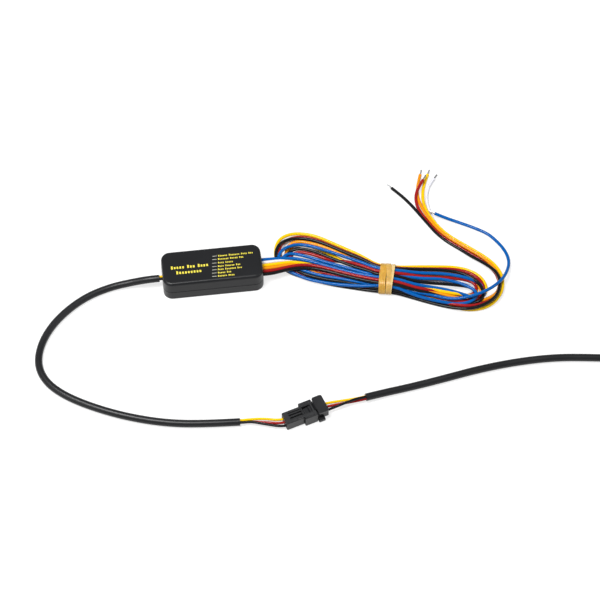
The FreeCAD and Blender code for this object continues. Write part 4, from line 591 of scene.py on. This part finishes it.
def moulded(name, colour, roughness=0.4, tone=0.1, grain=3000, patch=60, bump=0.00001, strength=0.4,
            specular=0.5, coat=0.0):
    """Plastic or rubber with a grain, its tone changing a little over the surface."""
    if name in bpy.data.materials:
        return bpy.data.materials[name]
    material, tree, shader = new_material(name)
    texture = tree.nodes.new("ShaderNodeGroup")
    texture.node_tree = moulded_grain()
    texture.inputs["Colour"].default_value = (*colour, 1)
    texture.inputs["Tone"].default_value = tone
    texture.inputs["Roughness"].default_value = roughness
    texture.inputs["Grain scale"].default_value = grain
    texture.inputs["Patch scale"].default_value = patch
    relief = tree.nodes.new("ShaderNodeBump")
    relief.inputs["Strength"].default_value = strength
    relief.inputs["Distance"].default_value = bump
    tree.links.new(texture.outputs["Colour"], shader.inputs["Base Color"])
    tree.links.new(texture.outputs["Roughness"], shader.inputs["Roughness"])
    tree.links.new(texture.outputs["Height"], relief.inputs["Height"])
    tree.links.new(relief.outputs["Normal"], shader.inputs["Normal"])
    shader.inputs["Specular IOR Level"].default_value = specular
    shader.inputs["Coat Weight"].default_value = coat
    return material


def metal(name, colour, roughness=0.3, tone=0.15, grain=1500, patch=200, bump=0.00002):
    """Tinned or plated metal with fine marks."""
    material = moulded(name, colour, roughness, tone, grain, patch, bump)
    material.node_tree.nodes["Principled BSDF"].inputs["Metallic"].default_value = 1.0
    return material


def dress(node, material):
    """Gives a carried-over sub-part its finish."""
    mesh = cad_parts[node].data
    mesh.materials.clear()
    mesh.materials.append(material)


def solids(mesh):
    """The faces of each separate solid in a mesh, from the far side to the near one."""
    owner = {}

    def root(key):
        while owner[key] != key:
            key = owner[key]
        return key

    keys = [tuple(round(v, 6) for v in vertex.co) for vertex in mesh.vertices]
    for key in keys:
        owner[key] = key
    for face in mesh.polygons:
        first = root(keys[face.vertices[0]])
        for index in face.vertices:
            owner[root(keys[index])] = first
    parts = {}
    for face in mesh.polygons:
        parts.setdefault(root(keys[face.vertices[0]]), []).append(face)
    return sorted(parts.values(), key=lambda faces: -sum(face.center.y for face in faces) / len(faces))


def dress_each(node, materials):
    """Gives each solid of a carried-over sub-part its own finish, from the far side to the near one."""
    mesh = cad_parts[node].data
    mesh.materials.clear()
    for material in materials:
        mesh.materials.append(material)
    for place, faces in enumerate(solids(mesh)):
        for face in faces:
            face.material_index = place % len(materials)


def insulation(colour):
    """The insulation of a single wire or core."""
    colours = {
        "blue": (0.0005, 0.105, 0.4),
        "white": (0.8, 0.8, 0.86),
        "yellow": (0.97, 0.6, 0.004),
        "orange": (0.85, 0.3, 0.006),
        "red": (0.34, 0.012, 0.012),
        "black": (0.008, 0.0078, 0.009),
    }
    return moulded(f"insulation {colour}", colours[colour], roughness=0.17, tone=0.1, grain=1800, patch=90,
                   bump=0.00001, specular=0.2)


# ---------------------------------------------------------------- curve helpers


def line_curve(name, route, steps):
    """A smooth line along a route written in millimetres, with so many steps from point to point."""
    curve = bpy.data.curves.new(name, "CURVE")
    curve.dimensions = "3D"
    curve.resolution_u = steps
    spline = curve.splines.new("NURBS")
    spline.points.add(len(route) - 1)
    for point, place in zip(spline.points, route):
        point.co = (*(v * MM for v in place), 1.0)
    spline.order_u = 3
    spline.use_endpoint_u = True
    return curve


def cord_curve(name, route, width, facets, material, body):
    """One smooth cord that follows the route, written in millimetres."""
    curve = line_curve(name, route, CORD_STEPS)
    curve.bevel_depth = width / 2
    curve.bevel_resolution = facets
    curve.use_fill_caps = True
    piece = bpy.data.objects.new(name, curve)
    bpy.context.scene.collection.objects.link(piece)
    curve.materials.append(material)
    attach(piece, body)
    return piece


def spline_length(route):
    """The length of a cord along its spline, in metres."""
    curve = line_curve("measure", route, MEASURE_STEPS)
    probe = bpy.data.objects.new("measure", curve)
    line = bpy.data.meshes.new_from_object(probe)
    places = [vertex.co.copy() for vertex in line.vertices]
    bpy.data.objects.remove(probe)
    bpy.data.curves.remove(curve)
    bpy.data.meshes.remove(line)
    return sum((b - a).length for a, b in zip(places, places[1:]))


def bridge(shape, lower, upper):
    """Faces between two rings of vertices."""
    rim = set(lower) | set(upper)
    edges = {edge for vertex in rim for edge in vertex.link_edges if edge.is_wire or edge.is_boundary}
    bmesh.ops.bridge_loops(shape, edges=[edge for edge in edges if rim.issuperset(edge.verts)])


def box(shape, low, high):
    """A block between two corners, written in millimetres."""
    made = bmesh.ops.create_cube(shape, size=1)["verts"]
    low, high = Vector(low) * MM, Vector(high) * MM
    bmesh.ops.scale(shape, vec=high - low, verts=made)
    bmesh.ops.translate(shape, vec=(low + high) / 2, verts=made)


def aim(holder, target):
    """Turns a camera or a light towards a place."""
    holder.rotation_euler = (Vector(target) - holder.location).to_track_quat("-Z", "Y").to_euler()


def mesh_piece(name, build, material, body):
    """A mesh piece in the part's own frame, made by build, which fills a bmesh."""
    mesh = bpy.data.meshes.new(name)
    shape = bmesh.new()
    build(shape)
    bmesh.ops.recalc_face_normals(shape, faces=shape.faces)
    shape.to_mesh(mesh)
    shape.free()
    mesh.materials.append(material)
    piece = bpy.data.objects.new(name, mesh)
    bpy.context.scene.collection.objects.link(piece)
    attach(piece, body)
    return piece


# ---------------------------------------------------------------- operators


class LAMP_CONTROLLER_OT_camera(bpy.types.Operator):
    """Place the camera"""

    bl_idname = "lamp_controller.camera"
    bl_label = "Camera"

    def execute(self, context):
        camera = bpy.data.cameras.new("camera")
        camera.lens = CAMERA_LENS
        camera.sensor_width = 36
        camera.clip_start = 0.01
        camera.clip_end = 50
        holder = bpy.data.objects.new("camera", camera)
        holder.location = CAMERA_PLACE
        aim(holder, CAMERA_TARGET)
        context.scene.collection.objects.link(holder)
        context.scene.camera = holder
        return {"FINISHED"}


class LAMP_CONTROLLER_OT_cores(bpy.types.Operator):
    """Lay the bare cores at the ends of the jacketed cables"""

    bl_idname = "lamp_controller.cores"
    bl_label = "Cable cores"

    def execute(self, context):
        cords = context.scene.lamp_controller_cords
        for node in CORE_BENDS:
            body = CASE if node == "controller_cable_cores" else PLUG
            for colour, route in zip(CORE_COLOURS, core_routes(node)):
                name = f"{node}_{colour}"
                piece = cord_curve(name, route, cords.core_width, cords.facets, insulation(colour), body)
                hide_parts(node)
        return {"FINISHED"}


class LAMP_CONTROLLER_OT_jackets(bpy.types.Operator):
    """Lay the two jacketed cables"""

    bl_idname = "lamp_controller.jackets"
    bl_label = "Jacketed cables"

    def execute(self, context):
        cords = context.scene.lamp_controller_cords
        rubber = moulded("cable jacket", (0.013, 0.0135, 0.015), roughness=0.34, tone=0.25, grain=900,
                         patch=45, bump=0.00003, strength=0.45, specular=0.3)
        piece = cord_curve("controller_cable_jacket", CONTROLLER_CABLE, cords.jacket_width, JACKET_FACETS,
                           rubber, CASE)
        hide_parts("controller_cable")
        spline_length(CONTROLLER_CABLE)
        route = LAMP_LEAD + coil_points() + LAMP_LEAD_END
        piece = cord_curve("lamp_lead_jacket", route, cords.jacket_width, JACKET_FACETS, rubber, PLUG)
        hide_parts("lamp_lead", "lamp_lead_coil", "lamp_lead_end")
        ends = [f"lamp_lead_cores_{colour}" for colour in CORE_COLOURS]
        ends += [f"lamp_end_cores_{colour}" for colour in CORE_COLOURS]
        spline_length(route)
        return {"FINISHED"}


class LAMP_CONTROLLER_OT_harness(bpy.types.Operator):
    """Lay the six harness wires through the hank to their bare ends"""

    bl_idname = "lamp_controller.harness"
    bl_label = "Harness wires"

    def execute(self, context):
        cords = context.scene.lamp_controller_cords
        tinned = metal("tinned strands", (0.55, 0.55, 0.56), roughness=0.38)
        for colour in WIRE_COLOURS:
            route = wire_route(colour)
            piece = cord_curve(f"{colour}_wire", route, cords.wire_width, cords.facets, insulation(colour),
                               CASE)
            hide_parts("harness_hank", f"{colour}_wire_lead", f"{colour}_wire_tail")
            tip = self.bare_tip(f"{colour}_wire_tip", route, cords.strand_width, tinned)
            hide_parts("wire_tips")
            spline_length(route)
        return {"FINISHED"}

    def bare_tip(self, name, route, width, material):
        """Seven twisted strands that stand out of the insulation."""
        end = Vector(route[-1]) * MM
        heading = (end - Vector(route[-2]) * MM).normalized()
        radius = width / 6

        def build(shape):
            for place in range(OUTER_STRANDS + 1):
                loops = []
                for step in range(TIP_STEPS + 1):
                    share = step / TIP_STEPS
                    angle = 2 * math.pi * (place / OUTER_STRANDS + TIP_TURNS * share)
                    reach = 0.0 if place == OUTER_STRANDS else width / 2 - radius
                    rise = TIP_LENGTH * MM * share
                    centre = Vector((reach * math.cos(angle), reach * math.sin(angle), rise))
                    made = bmesh.ops.create_circle(
                        shape, segments=STRAND_FACETS, radius=radius, cap_ends=False)
                    bmesh.ops.translate(shape, verts=made["verts"], vec=centre)
                    loops.append(made["verts"])
                for lower, upper in zip(loops, loops[1:]):
                    bridge(shape, lower, upper)
                for loop in (loops[0], loops[-1]):
                    edges = {e for v in loop for e in v.link_edges if e.is_boundary}
                    bmesh.ops.holes_fill(shape, edges=list(edges), sides=STRAND_FACETS)
            turn = heading.to_track_quat("Z", "Y").to_matrix().to_4x4()
            bmesh.ops.transform(shape, matrix=Matrix.Translation(end) @ turn, verts=shape.verts)

        return mesh_piece(name, build, material, CASE)


class LAMP_CONTROLLER_OT_band(bpy.types.Operator):
    """Stretch the rubber band around the hank"""

    bl_idname = "lamp_controller.band"
    bl_label = "Rubber band"

    def execute(self, context):
        settings = context.scene.lamp_controller_band
        for i, (along, lean, bow, width, pale, rise) in enumerate(BAND_LOOPS[:settings.strands]):
            piece = self.loop(f"rubber_band_{i + 1}", along, lean, bow, width, rise, self.rubber(pale, i))
            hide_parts("harness_band")
        return {"FINISHED"}

    def rubber(self, pale, place):
        """Amber rubber, more or less stretched and pale."""
        amber = bpy.context.scene.lamp_controller_band.colour
        colour = tuple(a + (b - a) * pale for a, b in zip(amber, PALE_RUBBER))
        rubber = moulded(f"rubber band {place + 1}", colour, roughness=0.33, tone=0.35, grain=900,
                         patch=420, bump=0.00006, strength=0.6, specular=0.5)
        shader = rubber.node_tree.nodes["Principled BSDF"]
        shader.inputs["Subsurface Weight"].default_value = 0.2
        shader.inputs["Subsurface Radius"].default_value = (0.0012, 0.0006, 0.0002)
        shader.inputs["Subsurface Scale"].default_value = 1.0
        return rubber

    def loop(self, name, along, lean, bow, width, rise, material):
        """One flat loop around the bundle, with thin ridges along its stretched face."""
        turn = Matrix.Rotation(math.radians(BAND_TURN), 4, "Z")
        place = Matrix.Translation(Vector((*BAND_PLACE, 0)) * MM) @ turn

        def build(shape):
            rings = []
            for k in range(BAND_RIDGES * 2 + 1):
                side = k / (BAND_RIDGES * 2) - 0.5
                lift = rise + (BAND_RIDGE_HEIGHT if k % 2 else 0.0)
                ring = []
                for across, level in BAND_SECTION:
                    x = along + side * width + lean * across + bow * (1 - (across / BAND_REACH) ** 2)
                    z = level + (lift if level > RIDGED_ABOVE else 0)
                    ring.append(shape.verts.new(Vector((x, across, z)) * MM))
                rings.append(ring)
            for ring in rings:
                for a, b in zip(ring, ring[1:] + ring[:1]):
                    shape.edges.new((a, b))
            for lower, upper in zip(rings, rings[1:]):
                bridge(shape, lower, upper)
            bmesh.ops.transform(shape, matrix=place, verts=shape.verts)

        piece = mesh_piece(name, build, material, CASE)
        wall = piece.modifiers.new("thickness", "SOLIDIFY")
        wall.thickness = BAND_THICKNESS * MM
        wall.offset = 0
        smooth = piece.modifiers.new("smooth", "SUBSURF")
        smooth.levels = 2
        smooth.render_levels = 2
        for face in piece.data.polygons:
            face.use_smooth = True
        return piece


class LAMP_CONTROLLER_OT_case(bpy.types.Operator):
    """Give the case, the board and what stands on it their finishes"""

    bl_idname = "lamp_controller.case"
    bl_label = "Case and board"

    def execute(self, context):
        settings = context.scene.lamp_controller_case
        shell = moulded("moulded case", tuple(settings.colour), roughness=0.33, tone=0.12,
                        grain=1 / settings.grain, patch=40, bump=0.00002, strength=0.35, specular=0.28)
        dress("case_cover", shell)
        dress("case_base", shell)
        mask = moulded("board mask", (0.01, 0.13, 0.055), roughness=0.3, tone=0.15, patch=180)
        dress("circuit_board", mask)
        seal = moulded("seal rubber", (0.016, 0.016, 0.017), roughness=0.6, tone=0.2)
        dress("harness_seal", seal)
        dress("cable_seal", seal)
        dress("coil_tie", moulded("tie nylon", (0.014, 0.014, 0.016), roughness=0.35, tone=0.1))
        chip = moulded("component body", (0.014, 0.014, 0.016), roughness=0.55, tone=0.15, grain=4000)
        for node in ("control_chip", "power_transistors", "voltage_regulator", "input_diodes"):
            dress(node, chip)
        dress("chip_resistors", moulded("resistor body", (0.03, 0.032, 0.04), roughness=0.45, tone=0.2))
        dress("chip_capacitors", moulded("capacitor body", (0.4, 0.28, 0.17), roughness=0.5, tone=0.2))
        dress("supply_capacitor", metal("capacitor can", (0.72, 0.72, 0.74), roughness=0.28))
        dress("board_solder", metal("solder", (0.66, 0.66, 0.68), roughness=0.3, patch=900))
        dress_each("harness_inner_ends", [insulation(colour) for colour in WIRE_COLOURS])
        dress_each("cable_inner_cores", [insulation(colour) for colour in CORE_COLOURS])
        return {"FINISHED"}


class LAMP_CONTROLLER_OT_connectors(bpy.types.Operator):
    """Give the connector pair and the contacts their finishes"""

    bl_idname = "lamp_controller.connectors"
    bl_label = "Connectors"

    def execute(self, context):
        shell = moulded("connector moulding", (0.0135, 0.014, 0.0155), roughness=0.4, tone=0.12, grain=2500,
                        patch=120, bump=0.00002, strength=0.4)
        lever = moulded("latch moulding", (0.011, 0.0115, 0.013), roughness=0.32, tone=0.08, grain=2500,
                        patch=120, bump=0.00001, strength=0.3)
        for node in ("receptacle_housing", "plug_housing", "lamp_end_housing"):
            dress(node, shell)
        dress("latch_lever", lever)
        contact = metal("contact plating", (0.72, 0.66, 0.5), roughness=0.25)
        for node in ("pin_contacts", "socket_contacts", "lamp_end_pins"):
            dress(node, contact)
        places = (
            ("receptacle_ribs", CONNECTOR_PLACE, CONNECTOR_TURN, CASE),
            ("lamp_end_ribs", LAMP_END_PLACE, LAMP_END_TURN, PLUG),
        )
        for name, place, turn, body in places:
            piece = self.ribs(name, place, turn, shell, body)
        return {"FINISHED"}

    def ribs(self, name, place, turn, material, body):
        """The raised plate, the grip ribs of the shroud and the teeth of the two strips."""
        def build(shape):
            top = SHROUD_TOP + RAISED
            box(shape, (PLATE_START, PLATE_REAR_SIDE, REAR_TOP - SUNK),
                (SHROUD_START + SUNK, PLATE_INNER_SIDE, top))
            box(shape, (SHROUD_START + PLATE_STEP, PLATE_FRONT_SIDE, SHROUD_TOP - SUNK),
                (PLATE_END, PLATE_INNER_SIDE, top))
            for step in range(GRIP_RIBS):
                x = SHROUD_START + GRIP_START + GRIP_PITCH * step
                box(shape, (x, GRIP_NEAR, SHROUD_TOP - SUNK),
                    (x + GRIP_WIDTH, GRIP_FAR, SHROUD_TOP + GRIP_HEIGHT))
            for y in STRIPS:
                for step in range(TEETH):
                    x = TOOTH_START + TOOTH_PITCH * step
                    box(shape, (x, y - TOOTH_REACH, STRIP_TOP - TOOTH_SUNK),
                        (x + TOOTH_WIDTH, y + TOOTH_REACH, STRIP_TOP + RAISED))
            bmesh.ops.bevel(shape, geom=shape.edges[:], offset=RIB_BEVEL * MM, offset_type="OFFSET",
                            segments=2, profile=0.5, affect="EDGES", material=-1)
            matrix = Matrix.Translation(Vector(place) * MM) @ Matrix.Rotation(math.radians(turn), 4, "Z")
            bmesh.ops.transform(shape, matrix=matrix, verts=shape.verts)

        return mesh_piece(name, build, material, body)


class LAMP_CONTROLLER_OT_print(bpy.types.Operator):
    """Print plain marks on the cover"""

    bl_idname = "lamp_controller.print"
    bl_label = "Cover print"

    def execute(self, context):
        settings = context.scene.lamp_controller_case
        ink = moulded("printed marks", tuple(settings.print_colour), roughness=0.5, tone=0.3, grain=1500,
                      patch=900, bump=0.000005)
        pale = moulded("printed leaders", PALE_INK, roughness=0.5, tone=0.3, grain=1500, patch=900,
                       bump=0.000005)
        level = COVER_HIGH.z / MM + settings.print_lift / MM

        def patch(shape, x, y, width, height):
            made = bmesh.ops.create_grid(shape, x_segments=1, y_segments=1, size=0.5)["verts"]
            bmesh.ops.scale(shape, vec=(width * MM, height * MM, 1), verts=made)
            bmesh.ops.translate(shape, vec=Vector((x + width / 2, y, level)) * MM, verts=made)

        def marks(shape):
            for start, words, y, height, pitch in TITLE_ROWS + LIST_ROWS:
                x = start
                for word in words:
                    for mark in range(word):
                        tall = height * (LOW_MARK if mark else 1)
                        patch(shape, x, y - (height - tall) / 2, pitch * MARK_SHARE, tall)
                        x += pitch
                    x += pitch * WORD_GAP

        def leaders(shape):
            for start, _, y, _, _ in LIST_ROWS:
                patch(shape, start - LEADER_GAP - LEADER_LENGTH, y, LEADER_LENGTH, LEADER_WIDTH)

        for name, build, material in (("printed_marks", marks, ink), ("printed_leaders", leaders, pale)):
            piece = mesh_piece(name, build, material, CASE)
        return {"FINISHED"}


class LAMP_CONTROLLER_OT_stage(bpy.types.Operator):
    """Lay the floor and set the lights"""

    bl_idname = "lamp_controller.stage"
    bl_label = "Floor and lights"

    def execute(self, context):
        settings = context.scene.lamp_controller_stage
        context.scene.view_settings.view_transform = "Standard"
        if settings.show_floor:
            self.floor(settings.floor_size)
        self.world(context.scene)
        self.light("key light", KEY_PLACE, KEY_SIZE, settings.key_power)
        for name, place in FILL_PLACES.items():
            self.light(name, place, FILL_SIZE, settings.fill_power)
        return {"FINISHED"}

    def floor(self, size):
        mesh = bpy.data.meshes.new("floor")
        shape = bmesh.new()
        bmesh.ops.create_grid(shape, x_segments=1, y_segments=1, size=size / 2)
        shape.to_mesh(mesh)
        shape.free()
        piece = bpy.data.objects.new("floor", mesh)
        bpy.context.scene.collection.objects.link(piece)
        material = bpy.data.materials.new("floor")
        material.use_nodes = True
        tree = material.node_tree
        tree.nodes.clear()
        end = tree.nodes.new("ShaderNodeOutputMaterial")
        plain = tree.nodes.new("ShaderNodeBsdfDiffuse")
        plain.inputs["Color"].default_value = (0.5, 0.5, 0.5, 1)
        seen = tree.nodes.new("ShaderNodeBsdfDiffuse")
        seen.inputs["Color"].default_value = (0.35, 0.35, 0.35, 1)
        glow = tree.nodes.new("ShaderNodeEmission")
        glow.inputs["Strength"].default_value = 0.72
        bright = tree.nodes.new("ShaderNodeAddShader")
        tree.links.new(seen.outputs[0], bright.inputs[0])
        tree.links.new(glow.outputs[0], bright.inputs[1])
        mix = tree.nodes.new("ShaderNodeMixShader")
        tree.links.new(self.seen_rays(tree), mix.inputs[0])
        tree.links.new(plain.outputs[0], mix.inputs[1])
        tree.links.new(bright.outputs[0], mix.inputs[2])
        tree.links.new(mix.outputs[0], end.inputs["Surface"])
        mesh.materials.append(material)

    def seen_rays(self, tree):
        """1 for the rays that show the background: to the camera, by reflection or through glass."""
        rays = tree.nodes.new("ShaderNodeLightPath")
        first = maths(tree, "MAXIMUM", rays.outputs["Is Camera Ray"], rays.outputs["Is Glossy Ray"])
        return maths(tree, "MAXIMUM", first, rays.outputs["Is Transmission Ray"])

    def world(self, scene):
        world = bpy.data.worlds.new("world")
        world.use_nodes = True
        tree = world.node_tree
        shade = tree.nodes["Background"]
        shade.inputs["Color"].default_value = (1, 1, 1, 1)
        rays = tree.nodes.new("ShaderNodeLightPath")
        level = tree.nodes.new("ShaderNodeMapRange")
        level.inputs["To Min"].default_value = 0.28
        level.inputs["To Max"].default_value = 1.0
        tree.links.new(rays.outputs["Is Camera Ray"], level.inputs["Value"])
        tree.links.new(level.outputs["Result"], shade.inputs["Strength"])
        scene.world = world

    def light(self, name, place, size, power):
        lamp = bpy.data.lights.new(name, "AREA")
        lamp.shape = "DISK"
        lamp.size = size
        lamp.energy = power
        holder = bpy.data.objects.new(name, lamp)
        holder.location = place
        aim(holder, LIGHT_TARGET)
        bpy.context.scene.collection.objects.link(holder)


class LAMP_CONTROLLER_PT_panel(bpy.types.Panel):
    """Lists the pieces and their settings"""

    bl_label = "Lamp controller"
    bl_idname = "LAMP_CONTROLLER_PT_panel"
    bl_space_type = "VIEW_3D"
    bl_region_type = "UI"
    bl_category = "Lamp controller"

    def draw(self, context):
        for title, settings in SETTINGS.items():
            box = self.layout.box()
            box.label(text=title)
            group = getattr(context.scene, settings)
            for field in group.bl_rna.properties:
                if field.identifier not in ("rna_type", "name"):
                    box.prop(group, field.identifier)
        for operator in OPERATORS:
            self.layout.operator(operator.bl_idname)


SETTINGS = {
    "Case": "lamp_controller_case",
    "Cords": "lamp_controller_cords",
    "Band": "lamp_controller_band",
    "Stage": "lamp_controller_stage",
}
GROUPS = (CaseSettings, CordSettings, BandSettings, StageSettings)
OPERATORS = (
    LAMP_CONTROLLER_OT_camera,
    LAMP_CONTROLLER_OT_cores,
    LAMP_CONTROLLER_OT_jackets,
    LAMP_CONTROLLER_OT_harness,
    LAMP_CONTROLLER_OT_band,
    LAMP_CONTROLLER_OT_case,
    LAMP_CONTROLLER_OT_connectors,
    LAMP_CONTROLLER_OT_print,
    LAMP_CONTROLLER_OT_stage,
)


def register():
    for group in GROUPS:
        bpy.utils.register_class(group)
    for name, group in zip(SETTINGS.values(), GROUPS):
        setattr(bpy.types.Scene, name, PointerProperty(type=group))
    for operator in OPERATORS:
        bpy.utils.register_class(operator)
    bpy.utils.register_class(LAMP_CONTROLLER_PT_panel)


def unregister():
    bpy.utils.unregister_class(LAMP_CONTROLLER_PT_panel)
    for operator in reversed(OPERATORS):
        bpy.utils.unregister_class(operator)
    for name in SETTINGS.values():
        delattr(bpy.types.Scene, name)
    for group in reversed(GROUPS):
        bpy.utils.unregister_class(group)


def main():
    register()
    for operator in OPERATORS:
        family, name = operator.bl_idname.split(".")
        getattr(getattr(bpy.ops, family), name)()


if __name__ == "__main__":
    main()
